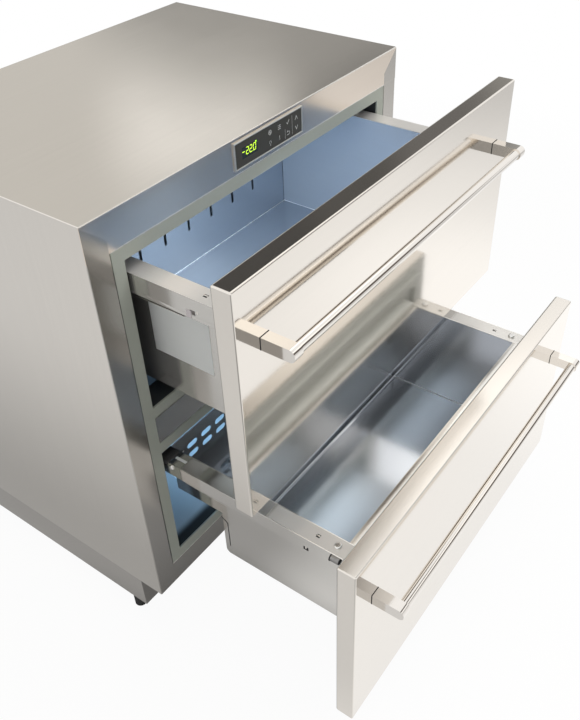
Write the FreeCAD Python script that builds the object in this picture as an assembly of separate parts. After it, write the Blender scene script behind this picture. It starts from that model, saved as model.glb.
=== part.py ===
"""Two-drawer built-in freezer in stainless steel, with both drawers pulled out.

All sizes are millimetres. The model is laid out with x across the front, y towards the back
and z up. While the pieces are made, y = 0 is the front face of the cabinet's frame and z = 0
is the floor; on export every piece is moved so that the origin is the middle of the base.
"""
import FreeCAD
import Part
import math
import os

Vector = FreeCAD.Vector
X_AXIS = Vector(1, 0, 0)
Y_AXIS = Vector(0, 1, 0)
Z_AXIS = Vector(0, 0, 1)

# Cabinet, from the floor up
CABINET_WIDTH = 750.0
CABINET_DEPTH = 525.0
FOOT_CLEARANCE = 40.0        # floor to the plinth's lower edge
PLINTH_HEIGHT = 72.0
BOTTOM_RAIL_HEIGHT = 46.0
STRIP_WIDTH = 22.0           # breaker strip round each opening, with its groove
LOWER_OPENING_HEIGHT = 240.0
MID_RAIL_HEIGHT = 52.0
UPPER_OPENING_HEIGHT = 264.0
FASCIA_HEIGHT = 56.0
STILE_WIDTH = 38.0
SHEET = 1.5                  # outer steel sheet
EDGE_ROUND = 1.2             # folded edges of the outer sheet
STRIP_THICKNESS = 3.0
GROOVE = 1.5                 # dark groove between the frame and the breaker strips
TOE_RECESS = 51.0            # toe-kick plate behind the front frame

# Insulated inner cabinet
LINER = 1.0
LINER_SET_BACK = 2.0         # liner stands this much outside the openings
FOAM_BACK = 45.0
FOAM_STEP = 40.0             # wall between the cold space and the machine space
STEP_CLEARANCE = 11.0        # lower drawer to the step in the liner
MULLION_DEPTH = 42.0
DUCT_DEPTH = 76.0            # air duct behind the evaporator cover

# Control panel
BEZEL_WIDTH = 168.0
BEZEL_HEIGHT = 43.0
BEZEL_PROUD = 3.0
BEZEL_RIM = 2.4
TOUCH_PANEL_THICKNESS = 2.0
DISPLAY_WIDTH = 37.0
DISPLAY_HEIGHT = 17.5
DISPLAY_FROM_LEFT = 17.5
DISPLAY_FROM_BOTTOM = 13.0
DISPLAY_THICKNESS = 0.8
CONTROLLER_WIDTH = 150.0
CONTROLLER_HEIGHT = 34.0
CONTROLLER_DEPTH = 30.0

# Lamp in the ceiling of the cold space
LAMP_LENGTH = 300.0
LAMP_WIDTH = 14.0
LAMP_HEIGHT = 6.0
LAMP_FROM_FRONT = 30.0

# Drawer fronts
FRONT_SIDE_INSET = 6.0        # front's side edges inside the cabinet's sides
FRONT_THICKNESS = 30.0
FRONT_TOP_BELOW_TOP = 11.5
UPPER_FRONT_HEIGHT = 374.5
FRONT_GAP = 6.0
LOWER_FRONT_HEIGHT = 365.0
FRONT_SKIN = 1.2
FRONT_EDGE_ROUND = 2.6
FRONT_BACK_RETURN = 14.0     # skin folded on to the back of the front
UPPER_OPEN = 200.0           # back of the front to the frame, as photographed
LOWER_OPEN = 368.0
DRAWER_TRAVEL = 380.0        # closed to fully out

# Inner panel and seal on the back of each front
PANEL_EDGE = 10.0            # inner panel's edge inside the front's edge
PANEL_SHEET = 1.2
PAD_DEPTH = 24.0             # raised middle of the inner panel
PAD_INSET = 17.0             # raised middle inside the opening, all round
PAD_CORNER = 22.0
PAD_EDGE = 5.0
SEAL_BASE_WIDTH = 24.0
SEAL_BASE_HEIGHT = 2.6
SEAL_BULB_WIDTH = 14.0
SEAL_HEIGHT = 8.0
SEAL_GAP = 0.3               # left between the seal and the frame when shut

# Handles
HANDLE_BELOW_TOP = 98.0
HANDLE_END_INSET = 44.0       # posts inside the front's side edges
POST_WIDTH = 17.5
POST_HEIGHT = 19.0
POST_REACH = 51.0
POST_NOSE = 8.5
BAR_DIAMETER = 16.0
BAR_FROM_NOSE = 9.5          # bar axis behind the post's nose

# Drawer boxes
BOX_SHEET = 1.2
LIP_SIDE_GAP = 5.0            # lip to the edge of the opening
FLANGE_WIDTH = 30.5
LIP_HEIGHT = 27.0
RIM_BELOW_OPENING = 22.0
UPPER_BOX_DEPTH = 394.0      # back of the front to the box's back
UPPER_BOX_HEIGHT = 218.0
LOWER_BOX_DEPTH = 384.0
LOWER_BOX_HEIGHT = 202.0
LOWER_TUB_DEPTH = 286.0      # deep front part of the lower box
LOWER_TUB_ROUND = 9.0        # bend between the deep part's floor and its riser
LOWER_TRAY_HEIGHT = 101.0    # shallow rear part of the lower box
LIP_HOLE_FROM_FRONT = 88.0
LIP_HOLE_LENGTH = 9.0
LIP_HOLE_HEIGHT = 7.0
LIP_HOLE_UP = 1.5            # lip's lower edge to the hole
UPPER_SLOT_COUNT = 7
UPPER_SLOT_PITCH = 61.0
UPPER_SLOT_WIDTH = 6.0
UPPER_SLOT_HEIGHT = 25.0
UPPER_SLOT_BELOW_RIM = 126.0
LOWER_SLOT_COUNT = 14
LOWER_SLOT_PITCH = 36.0
LOWER_SLOT_LENGTH = 25.0
LOWER_SLOT_WIDTH = 12.0
LOWER_SLOT_ROWS = (32.0, 53.5)   # below the rim
BOLT_PLACES = (46.0, 232.0)      # from the back of the front
BOLT_HEAD_DIAMETER = 12.0
BOLT_HEAD_HEIGHT = 4.0
BOLT_SHANK_DIAMETER = 5.0
BOLT_CLEARANCE = 0.1

# Telescopic runners under the flanges
RUNNER_LENGTH = 360.0
RUNNER_SHEET = 1.2
RUNNER_WIDTH = 16.0
RUNNER_CLEARANCE = 0.4
RUNNER_UPPER_LEG = 20.0      # drawer member, hidden by the lip
RUNNER_BAR_HEIGHT = 32.4     # middle member, a tube
RUNNER_LOWER_LEG = 10.5      # cabinet member
RUNNER_BRACKET = 24.0        # cabinet member's foot on the liner
RUNNER_FROM_BOX_FRONT = 2.0

# Levelling feet
FOOT_INSET_X = 16.0
FOOT_REAR_INSET_X = 46.0
FOOT_INSET_FRONT = 38.0      # behind the toe-kick plate
FOOT_INSET_BACK = 40.0
FOOT_PAD_DIAMETER = 23.0
FOOT_PAD_HEIGHT = 26.0
FOOT_PAD_EDGE = 2.0
FOOT_STEM_DIAMETER = 10.0
FOOT_STEM_TOP = 104.0
FOOT_SOCKET_DIAMETER = 18.0
FOOT_SOCKET_UP = 6.0         # socket's lower end above the plinth's edge
FOOT_FIT = 0.05

# Machine space at the bottom rear
TRAY_UP = 18.0               # compressor tray above the plinth's edge
TRAY_SHEET = 2.0
COMPRESSOR_FROM_SIDE = 180.0
COMPRESSOR_DIAMETER = 130.0
COMPRESSOR_HEIGHT = 125.0
COMPRESSOR_ROUND = 32.0
COMPRESSOR_PLATE_X = 170.0
COMPRESSOR_PLATE_Y = 120.0
COMPRESSOR_PLATE_THICKNESS = 3.0
GROMMET_DIAMETER = 22.0
GROMMET_HEIGHT = 14.0
GROMMET_INSET = 14.0
CONDENSATE_TRAY_X = 180.0
CONDENSATE_TRAY_Y = 150.0
CONDENSATE_TRAY_HEIGHT = 14.0
CONDENSATE_TRAY_WALL = 1.5
CONDENSER_FROM_SIDE = 185.0
CONDENSER_LENGTH = 220.0
CONDENSER_DEPTH = 44.0
CONDENSER_HEIGHT = 132.0
CONDENSER_FROM_WALL = 14.0
CONDENSER_FINS = 30
CONDENSER_TUBE_ROWS = 6
FAN_FRAME = 120.0
FAN_FRAME_DEPTH = 25.0
FAN_BORE = 112.0
FAN_HUB_DIAMETER = 36.0
FAN_HUB_LENGTH = 13.0
FAN_BLADE_COUNT = 7
FAN_BLADE_PITCH = 32.0       # degrees
FAN_BLADE_THICKNESS = 1.6
FAN_BLADE_CHORD = 17.0
FAN_TIP_GAP = 2.5
FAN_SHAFT_DIAMETER = 6.0
FAN_SHAFT_FIT = 0.05
FAN_MOTOR_DIAMETER = 34.0
FAN_MOTOR_LENGTH = 9.0
FAN_STRUT = 7.0
DRIER_DIAMETER = 20.0
DRIER_LENGTH = 80.0
DRIER_NECK = 12.0
PIPE_DIAMETER = 8.0
PIPE_BEND = 16.0
PIPE_LEAD = 35.0              # compressor shell to the upright pipe beside it
ELECTRIC_BOX_GAP = 20.0       # to the discharge pipe
ELECTRIC_BOX_WIDTH = 84.0
ELECTRIC_BOX_DEPTH = 96.0
ELECTRIC_BOX_HEIGHT = 92.0
ELECTRIC_BOX_ROUND = 4.0
INLET_WIDTH = 48.0
INLET_HEIGHT = 28.0
INLET_BODY_WIDTH = 28.0
INLET_BODY_HEIGHT = 20.0
INLET_BODY_DEPTH = 24.0
INLET_PLATE = 2.5
INLET_WALL = 3.0
GRILLE_SLOT_WIDTH = 5.0
GRILLE_SLOT_PITCH = 13.0
GRILLE_SLOT_HEIGHT = 62.0
GRILLE_ROWS = 2
GRILLE_ROW_GAP = 14.0
GRILLE_MARGIN = 34.0

# Evaporator behind its cover
COVER_SHEET = 1.2
COVER_UP = 14.0              # cover's lower edge above the shelf
EVAPORATOR_LENGTH = 500.0
EVAPORATOR_DEPTH = 36.0
EVAPORATOR_HEIGHT = 190.0
EVAPORATOR_FINS = 36
EVAPORATOR_TUBE_ROWS = 6
EVAPORATOR_BELOW_CEILING = 40.0
COIL_TUBE_DIAMETER = 9.0
COIL_FIN = 0.8
COIL_END_PLATE = 2.0
COVER_SLOT_COUNT = 12
COVER_SLOT_PITCH = 44.0
COVER_SLOT_LENGTH = 30.0
COVER_SLOT_WIDTH = 6.0
COVER_SLOT_UP = 40.0

# Levels and places worked out from the sizes above
HALF_WIDTH = CABINET_WIDTH / 2
PLINTH_BOTTOM = FOOT_CLEARANCE
BASE = PLINTH_BOTTOM + PLINTH_HEIGHT
BOTTOM_RAIL_TOP = BASE + BOTTOM_RAIL_HEIGHT
LOWER_OPENING_BOTTOM = BOTTOM_RAIL_TOP + STRIP_WIDTH
LOWER_OPENING_TOP = LOWER_OPENING_BOTTOM + LOWER_OPENING_HEIGHT
MID_RAIL_BOTTOM = LOWER_OPENING_TOP + STRIP_WIDTH
MID_RAIL_TOP = MID_RAIL_BOTTOM + MID_RAIL_HEIGHT
UPPER_OPENING_BOTTOM = MID_RAIL_TOP + STRIP_WIDTH
UPPER_OPENING_TOP = UPPER_OPENING_BOTTOM + UPPER_OPENING_HEIGHT
FASCIA_BOTTOM = UPPER_OPENING_TOP + STRIP_WIDTH
TOP = FASCIA_BOTTOM + FASCIA_HEIGHT
FRAME_INNER = HALF_WIDTH - STILE_WIDTH
OPENING_HALF = FRAME_INNER - STRIP_WIDTH
INNER_WIDTH_HALF = HALF_WIDTH - SHEET

FRONT_WIDTH = CABINET_WIDTH - 2 * FRONT_SIDE_INSET
HANDLE_LENGTH = FRONT_WIDTH - 2 * HANDLE_END_INSET

LINER_HALF = OPENING_HALF + LINER_SET_BACK
LINER_FLOOR = LOWER_OPENING_BOTTOM - LINER_SET_BACK
LINER_CEILING = UPPER_OPENING_TOP + LINER_SET_BACK
LINER_FRONT = STRIP_THICKNESS
LINER_BACK = CABINET_DEPTH - SHEET - FOAM_BACK - LINER

SHUT_GAP = PANEL_SHEET + SEAL_HEIGHT + SEAL_GAP
UPPER_RIM = UPPER_OPENING_TOP - RIM_BELOW_OPENING
LOWER_RIM = LOWER_OPENING_TOP - RIM_BELOW_OPENING
LOWER_TRAY_BOTTOM = LOWER_RIM - LOWER_TRAY_HEIGHT
SHELF = LOWER_TRAY_BOTTOM - STEP_CLEARANCE
STEP_WALL = LOWER_TUB_DEPTH - SHUT_GAP + STEP_CLEARANCE
MACHINE_FRONT = STEP_WALL + LINER + FOAM_STEP
MACHINE_TOP = SHELF - LINER - FOAM_STEP
COVER_BACK = LINER_BACK - DUCT_DEPTH
COMPRESSOR_X = COMPRESSOR_FROM_SIDE - HALF_WIDTH
CONDENSER_X = HALF_WIDTH - CONDENSER_FROM_SIDE
PIPE_LEAD_X = COMPRESSOR_X + COMPRESSOR_DIAMETER / 2 + PIPE_LEAD
ELECTRIC_BOX_X = PIPE_LEAD_X + ELECTRIC_BOX_GAP + ELECTRIC_BOX_WIDTH / 2

UPPER_FRONT_TOP = TOP - FRONT_TOP_BELOW_TOP
UPPER_FRONT_BOTTOM = UPPER_FRONT_TOP - UPPER_FRONT_HEIGHT
LOWER_FRONT_TOP = UPPER_FRONT_BOTTOM - FRONT_GAP
LOWER_FRONT_BOTTOM = LOWER_FRONT_TOP - LOWER_FRONT_HEIGHT
FLANGE_EDGE = OPENING_HALF - LIP_SIDE_GAP
BOX_HALF = FLANGE_EDGE - FLANGE_WIDTH
FOREMOST = -(max(UPPER_OPEN, LOWER_OPEN) + FRONT_THICKNESS + POST_REACH)
MIDDLE_Y = (FOREMOST + CABINET_DEPTH) / 2


def export(name, *solids):
    """Write one node, moved so that the origin is the middle of the base."""
    shape = solids[0] if len(solids) == 1 else Part.makeCompound(list(solids))
    moved = shape.copy()
    moved.translate(Vector(0, -MIDDLE_Y, 0))
    moved.exportStep("parts/" + name + ".step")


def block(x, y, z):
    """Box from its (low, high) limits along each axis."""
    return Part.makeBox(x[1] - x[0], y[1] - y[0], z[1] - z[0], Vector(x[0], y[0], z[0]))


def across(half):
    """Limits of something centred on the cabinet's middle."""
    return (-half, half)


def rod(start, axis, radius, length):
    """Cylinder from its start point."""
    return Part.makeCylinder(radius, length, start, axis)


def mirrored(shape):
    """The same piece on the other side of the cabinet."""
    return shape.mirror(Vector(0, 0, 0), X_AXIS)


def both_sides(shape):
    """A right-hand piece and its left-hand mirror image."""
    return [shape, mirrored(shape)]


def joined(first, *others):
    """One solid from pieces that meet, with the seams removed."""
    return first.fuse(list(others)).removeSplitter()


def along(edge, axis):
    """True when a straight edge runs along an axis."""
    run = edge.Vertexes[-1].Point - edge.Vertexes[0].Point
    return len(edge.Vertexes) == 2 and run.Length > 0 and abs(run.normalize().dot(axis)) > 0.999


def rounded(shape, radius, wanted):
    """Fillet the edges for which wanted(edge) holds."""
    return shape.makeFillet(radius, [edge for edge in shape.Edges if wanted(edge)])


def ring(outer_x, outer_z, width, y):
    """Rectangular frame of even width between two y planes; outer sizes are (low, high)."""
    inner_x = (outer_x[0] + width, outer_x[1] - width)
    inner_z = (outer_z[0] + width, outer_z[1] - width)
    return block(outer_x, y, outer_z).cut(block(inner_x, y, inner_z))


def slot(centre, length, width, depth, direction):
    """Round-ended slot through a wall facing y, its long side along x or z."""
    radius = width / 2
    reach = direction * (length / 2 - radius)
    side = Z_AXIS if direction == X_AXIS else X_AXIS
    corners = [centre - reach - side * radius, centre + reach - side * radius,
               centre + reach + side * radius, centre - reach + side * radius]
    tip = direction * radius
    edges = [Part.LineSegment(corners[0], corners[1]).toShape(),
             Part.Arc(corners[1], centre + reach + tip, corners[2]).toShape(),
             Part.LineSegment(corners[2], corners[3]).toShape(),
             Part.Arc(corners[3], centre - reach - tip, corners[0]).toShape()]
    return Part.Face(Part.Wire(edges)).extrude(Y_AXIS * depth)


def spread(count, pitch):
    """Places of a centred row."""
    return [(index - (count - 1) / 2) * pitch for index in range(count)]


def pipe(points, radius, bend):
    """Round tube along straight runs joined by tangent arcs."""
    edges = []
    start = points[0]
    for before, corner, after in zip(points, points[1:], points[2:]):
        towards = (before - corner).normalize()
        away = (after - corner).normalize()
        half_turn = towards.getAngle(away) / 2
        setback = bend / math.tan(half_turn)
        middle = (towards + away).normalize()
        arc_start = corner + towards * setback
        arc_end = corner + away * setback
        arc_middle = corner + middle * (bend / math.sin(half_turn) - bend)
        edges.append(Part.LineSegment(start, arc_start).toShape())
        edges.append(Part.Arc(arc_start, arc_middle, arc_end).toShape())
        start = arc_end
    edges.append(Part.LineSegment(start, points[-1]).toShape())
    section = Part.Wire(Part.makeCircle(radius, points[0], points[1] - points[0]))
    return Part.Wire(edges).makePipeShell([section], True, False)


def make_outer_cabinet():
    """Outer sheets, front frame, breaker strips and plinth."""
    edge_round = min(EDGE_ROUND, SHEET * 0.8)
    depth = (0, CABINET_DEPTH)
    behind_front = (SHEET, CABINET_DEPTH)
    skin = (0, SHEET)
    top_sheet = block(across(HALF_WIDTH), depth, (TOP - SHEET, TOP))
    export("top_panel", rounded(top_sheet, edge_round, lambda edge: edge.CenterOfMass.z > TOP - 0.01))

    side = block((INNER_WIDTH_HALF, HALF_WIDTH), behind_front, (BASE, TOP - SHEET))
    export("side_panels", *both_sides(side))

    rear_y = (CABINET_DEPTH - SHEET, CABINET_DEPTH)
    export("rear_panel", block(across(INNER_WIDTH_HALF), rear_y, (MACHINE_TOP, TOP - SHEET)))
    floor_y = (SHEET, MACHINE_FRONT + SHEET)
    export("base_pan", block(across(INNER_WIDTH_HALF), floor_y, (BASE, BASE + SHEET)))

    cut_half_x = CONTROLLER_WIDTH / 2
    cut_z = control_limits(CONTROLLER_HEIGHT)
    fascia = block(across(HALF_WIDTH), skin, (FASCIA_BOTTOM, TOP - SHEET))
    export("top_fascia", fascia.cut(block(across(cut_half_x), skin, cut_z)))
    stile = block((FRAME_INNER, HALF_WIDTH), skin, (BASE, FASCIA_BOTTOM))
    stile = rounded(stile, edge_round, lambda edge: along(edge, Z_AXIS)
                    and edge.CenterOfMass.x > HALF_WIDTH - 0.01 and edge.CenterOfMass.y < 0.01)
    bottom_rail = block(across(FRAME_INNER), skin, (BASE, BOTTOM_RAIL_TOP))
    mid_rail = block(across(OPENING_HALF), skin, (MID_RAIL_BOTTOM, MID_RAIL_TOP))
    export("front_frame", *both_sides(stile), bottom_rail, mid_rail)
    make_breaker_strips()

    plinth_z = (PLINTH_BOTTOM, BASE)
    toe_plate = block(across(INNER_WIDTH_HALF), (TOE_RECESS, TOE_RECESS + SHEET), plinth_z)
    skirt = block((INNER_WIDTH_HALF, HALF_WIDTH), (TOE_RECESS, CABINET_DEPTH), plinth_z)
    export("plinth", toe_plate, *both_sides(skirt))


def make_breaker_strips():
    """Strips that the seals press on: two uprights and a cross strip at each opening's edge."""
    strip_y = (0, STRIP_THICKNESS)
    upright_z = (BOTTOM_RAIL_TOP + GROOVE, FASCIA_BOTTOM - GROOVE)
    upright = block((OPENING_HALF, FRAME_INNER - GROOVE), strip_y, upright_z)
    cross_levels = [(BOTTOM_RAIL_TOP + GROOVE, LOWER_OPENING_BOTTOM),
                    (LOWER_OPENING_TOP, MID_RAIL_BOTTOM - GROOVE),
                    (MID_RAIL_TOP + GROOVE, UPPER_OPENING_BOTTOM),
                    (UPPER_OPENING_TOP, FASCIA_BOTTOM - GROOVE)]
    crosses = [block(across(OPENING_HALF), strip_y, level) for level in cross_levels]
    export("breaker_strips", *both_sides(upright), *crosses)


def make_inner_cabinet():
    """Stepped liner, the foam between it and the outer sheets, and the lamp."""
    upper = ((-LINER_HALF, LINER_HALF), (LINER_FRONT, LINER_BACK), (SHELF, LINER_CEILING))
    lower = ((-LINER_HALF, LINER_HALF), (LINER_FRONT, STEP_WALL), (LINER_FLOOR, SHELF))
    shell_half = LINER_HALF + LINER
    shell_top = LINER_CEILING + LINER
    shell_back = LINER_BACK + LINER
    shell_floor = LINER_FLOOR - LINER
    step_back = STEP_WALL + LINER
    shelf_under = SHELF - LINER
    shell = joined(block(across(shell_half), (LINER_FRONT, shell_back), (shelf_under, shell_top)),
                   block(across(shell_half), (LINER_FRONT, step_back), (shell_floor, SHELF)))
    liner = shell.cut(joined(block(*upper), block(*lower)))

    mullion_y = (STRIP_THICKNESS, MULLION_DEPTH)
    mullion_z = (LOWER_OPENING_TOP, UPPER_OPENING_BOTTOM)
    core_y = (STRIP_THICKNESS, MULLION_DEPTH - LINER)
    core_z = (LOWER_OPENING_TOP + LINER, UPPER_OPENING_BOTTOM - LINER)
    mullion_core = block(across(LINER_HALF), core_y, core_z)
    mullion_cover = block(across(LINER_HALF), mullion_y, mullion_z).cut(mullion_core)
    export("inner_liner", liner, mullion_cover)

    rear = CABINET_DEPTH - SHEET
    roof_under = TOP - SHEET
    wall_x = (shell_half, INNER_WIDTH_HALF)
    front_to_rear = (STRIP_THICKNESS, rear)
    controller_pocket = block(across(CONTROLLER_WIDTH / 2), (0, CONTROLLER_DEPTH), control_limits(CONTROLLER_HEIGHT))
    roof = block(across(INNER_WIDTH_HALF), front_to_rear, (shell_top, roof_under)).cut(controller_pocket)
    wall_high = block(wall_x, front_to_rear, (MACHINE_TOP, shell_top))
    wall_low = block(wall_x, (STRIP_THICKNESS, MACHINE_FRONT), (BASE + SHEET, MACHINE_TOP))
    back = block(across(shell_half), (shell_back, rear), (shelf_under, shell_top))
    ground = block(across(shell_half), (STRIP_THICKNESS, MACHINE_FRONT), (BASE + SHEET, shell_floor))
    step = block(across(shell_half), (step_back, MACHINE_FRONT), (shell_floor, MACHINE_TOP))
    shelf = block(across(shell_half), (step_back, rear), (MACHINE_TOP, shelf_under))
    export("foam_insulation", roof, *both_sides(wall_high), *both_sides(wall_low), back, ground, step, shelf,
           mullion_core)

    lamp_y = (LAMP_FROM_FRONT, LAMP_FROM_FRONT + LAMP_WIDTH)
    lamp = block(across(LAMP_LENGTH / 2), lamp_y, (LINER_CEILING - LAMP_HEIGHT, LINER_CEILING))
    export("interior_lamp", rounded(lamp, LAMP_HEIGHT * 0.4, lambda edge: along(edge, X_AXIS)
                                    and edge.CenterOfMass.z < LINER_CEILING - LAMP_HEIGHT / 2))


def control_limits(height):
    """Height limits of something centred in the fascia."""
    middle = (FASCIA_BOTTOM + TOP) / 2
    return (middle - height / 2, middle + height / 2)


def make_control_panel():
    """Bezel, flat touch panel, display window and the controller's case."""
    bezel_x = across(BEZEL_WIDTH / 2)
    bezel_z = control_limits(BEZEL_HEIGHT)
    bezel = ring(bezel_x, bezel_z, BEZEL_RIM, (-BEZEL_PROUD, 0))
    export("control_bezel", rounded(bezel, BEZEL_RIM * 0.4, lambda edge: edge.CenterOfMass.y < 0.01 - BEZEL_PROUD
                                    and edge.BoundBox.DiagonalLength > BEZEL_RIM * 4))
    face_x = (bezel_x[0] + BEZEL_RIM, bezel_x[1] - BEZEL_RIM)
    face_z = (bezel_z[0] + BEZEL_RIM, bezel_z[1] - BEZEL_RIM)
    window_x = (bezel_x[0] + DISPLAY_FROM_LEFT, bezel_x[0] + DISPLAY_FROM_LEFT + DISPLAY_WIDTH)
    window_z = (bezel_z[0] + DISPLAY_FROM_BOTTOM, bezel_z[0] + DISPLAY_FROM_BOTTOM + DISPLAY_HEIGHT)
    window_y = (-TOUCH_PANEL_THICKNESS, -TOUCH_PANEL_THICKNESS + DISPLAY_THICKNESS)
    window = block(window_x, window_y, window_z)
    touch = block(face_x, (-TOUCH_PANEL_THICKNESS, 0), face_z)
    export("touch_panel", touch.cut(window))
    export("display_window", window)
    case = block(across(CONTROLLER_WIDTH / 2), (0, CONTROLLER_DEPTH), control_limits(CONTROLLER_HEIGHT))
    export("controller_case", case)


def finned_coil(x, y, z, fins, rows, plate_y, plate_z):
    """Fins on rows of tubes with end plates; the end plates reach what carries the coil."""
    radius = COIL_TUBE_DIAMETER / 2
    pitch = (z[1] - z[0]) / rows
    fin_step = (x[1] - x[0]) / (fins + 1)
    middle_y = (y[0] + y[1]) / 2
    pieces = [block((x[0] + (index + 1) * fin_step - COIL_FIN / 2, x[0] + (index + 1) * fin_step + COIL_FIN / 2), y, z)
              for index in range(fins)]
    for end in (x[0], x[1] - COIL_END_PLATE):
        pieces.append(block((end, end + COIL_END_PLATE), plate_y, plate_z))
    heights = [z[0] + (row + 0.5) * pitch for row in range(rows)]
    for height in heights:
        pieces.append(rod(Vector(x[0] - radius, middle_y, height), X_AXIS, radius, x[1] - x[0] + 2 * radius))
    for index, (low, high) in enumerate(zip(heights, heights[1:])):
        end, turn = (x[1] + radius, -180) if index % 2 == 0 else (x[0] - radius, 180)
        section = Part.Face(Part.Wire(Part.makeCircle(radius, Vector(end, middle_y, low), X_AXIS)))
        pieces.append(section.revolve(Vector(end, middle_y, (low + high) / 2), Y_AXIS, turn))
    return joined(*pieces)


def axial_fan(centre, front):
    """Square fan frame with its motor and shaft, and the bladed rotor that turns on it."""
    half = FAN_FRAME / 2
    back = front + FAN_FRAME_DEPTH
    frame = block((centre.x - half, centre.x + half), (front, back), (centre.z - half, centre.z + half))
    frame = frame.cut(rod(Vector(centre.x, front, centre.z), Y_AXIS, FAN_BORE / 2, FAN_FRAME_DEPTH))
    motor_front = back - FAN_MOTOR_LENGTH
    hub_front = motor_front - FAN_HUB_LENGTH - FAN_SHAFT_FIT * 10
    strut_y = (back - FAN_STRUT / 2, back)
    struts = [block((centre.x - half, centre.x + half), strut_y, (centre.z - FAN_STRUT / 2, centre.z + FAN_STRUT / 2)),
              block((centre.x - FAN_STRUT / 2, centre.x + FAN_STRUT / 2), strut_y, (centre.z - half, centre.z + half))]
    motor = rod(Vector(centre.x, motor_front, centre.z), Y_AXIS, FAN_MOTOR_DIAMETER / 2, FAN_MOTOR_LENGTH)
    shaft = rod(Vector(centre.x, hub_front, centre.z), Y_AXIS, FAN_SHAFT_DIAMETER / 2, motor_front - hub_front)
    frame = joined(frame, motor, shaft, *struts)

    hub_radius = FAN_HUB_DIAMETER / 2
    hub = rod(Vector(centre.x, hub_front, centre.z), Y_AXIS, hub_radius, FAN_HUB_LENGTH)
    tip = FAN_BORE / 2 - FAN_TIP_GAP
    hub_middle = hub_front + FAN_HUB_LENGTH / 2
    blades = []
    for index in range(FAN_BLADE_COUNT):
        blade = block((-FAN_BLADE_CHORD / 2, FAN_BLADE_CHORD / 2),
                      across(FAN_BLADE_THICKNESS / 2), (hub_radius * 0.7, tip * 0.985))
        blade.rotate(Vector(0, 0, 0), Z_AXIS, FAN_BLADE_PITCH)
        blade.rotate(Vector(0, 0, 0), Y_AXIS, index * 360.0 / FAN_BLADE_COUNT)
        blade.translate(Vector(centre.x, hub_middle, centre.z))
        blades.append(blade)
    rotor = joined(hub, *blades)
    bore = rod(Vector(centre.x, front, centre.z), Y_AXIS, FAN_SHAFT_DIAMETER / 2 + FAN_SHAFT_FIT, FAN_FRAME_DEPTH)
    return frame, rotor.cut(bore)


def make_evaporator():
    """Finned evaporator at the back of the cold space, its fan and the slotted cover."""
    cover_front = COVER_BACK - COVER_SHEET
    fan_z = LINER_CEILING - EVAPORATOR_BELOW_CEILING - EVAPORATOR_HEIGHT / 2
    fan_centre = Vector(0, 0, fan_z)
    frame, rotor = axial_fan(fan_centre, COVER_BACK)
    export("evaporator_fan_motor", frame)
    export("evaporator_fan", rotor)
    cover = block(across(LINER_HALF), (cover_front, COVER_BACK), (SHELF + COVER_UP, LINER_CEILING))
    cover = cover.cut(rod(Vector(0, cover_front, fan_z), Y_AXIS, FAN_BORE / 2, COVER_SHEET))
    slot_z = SHELF + COVER_UP + COVER_SLOT_UP
    slots = [slot(Vector(place, cover_front, slot_z), COVER_SLOT_LENGTH, COVER_SLOT_WIDTH, COVER_SHEET, X_AXIS)
             for place in spread(COVER_SLOT_COUNT, COVER_SLOT_PITCH)]
    export("evaporator_cover", cover.cut(Part.makeCompound(slots)))
    coil_y = (COVER_BACK + FAN_FRAME_DEPTH + FAN_STRUT / 2, COVER_BACK + FAN_FRAME_DEPTH + FAN_STRUT / 2
              + EVAPORATOR_DEPTH)
    coil_z = (fan_z - EVAPORATOR_HEIGHT / 2, fan_z + EVAPORATOR_HEIGHT / 2)
    coil = finned_coil(across(EVAPORATOR_LENGTH / 2), coil_y, coil_z, EVAPORATOR_FINS, EVAPORATOR_TUBE_ROWS,
                       (coil_y[0], LINER_BACK), coil_z)
    export("evaporator_coil", coil)


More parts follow.
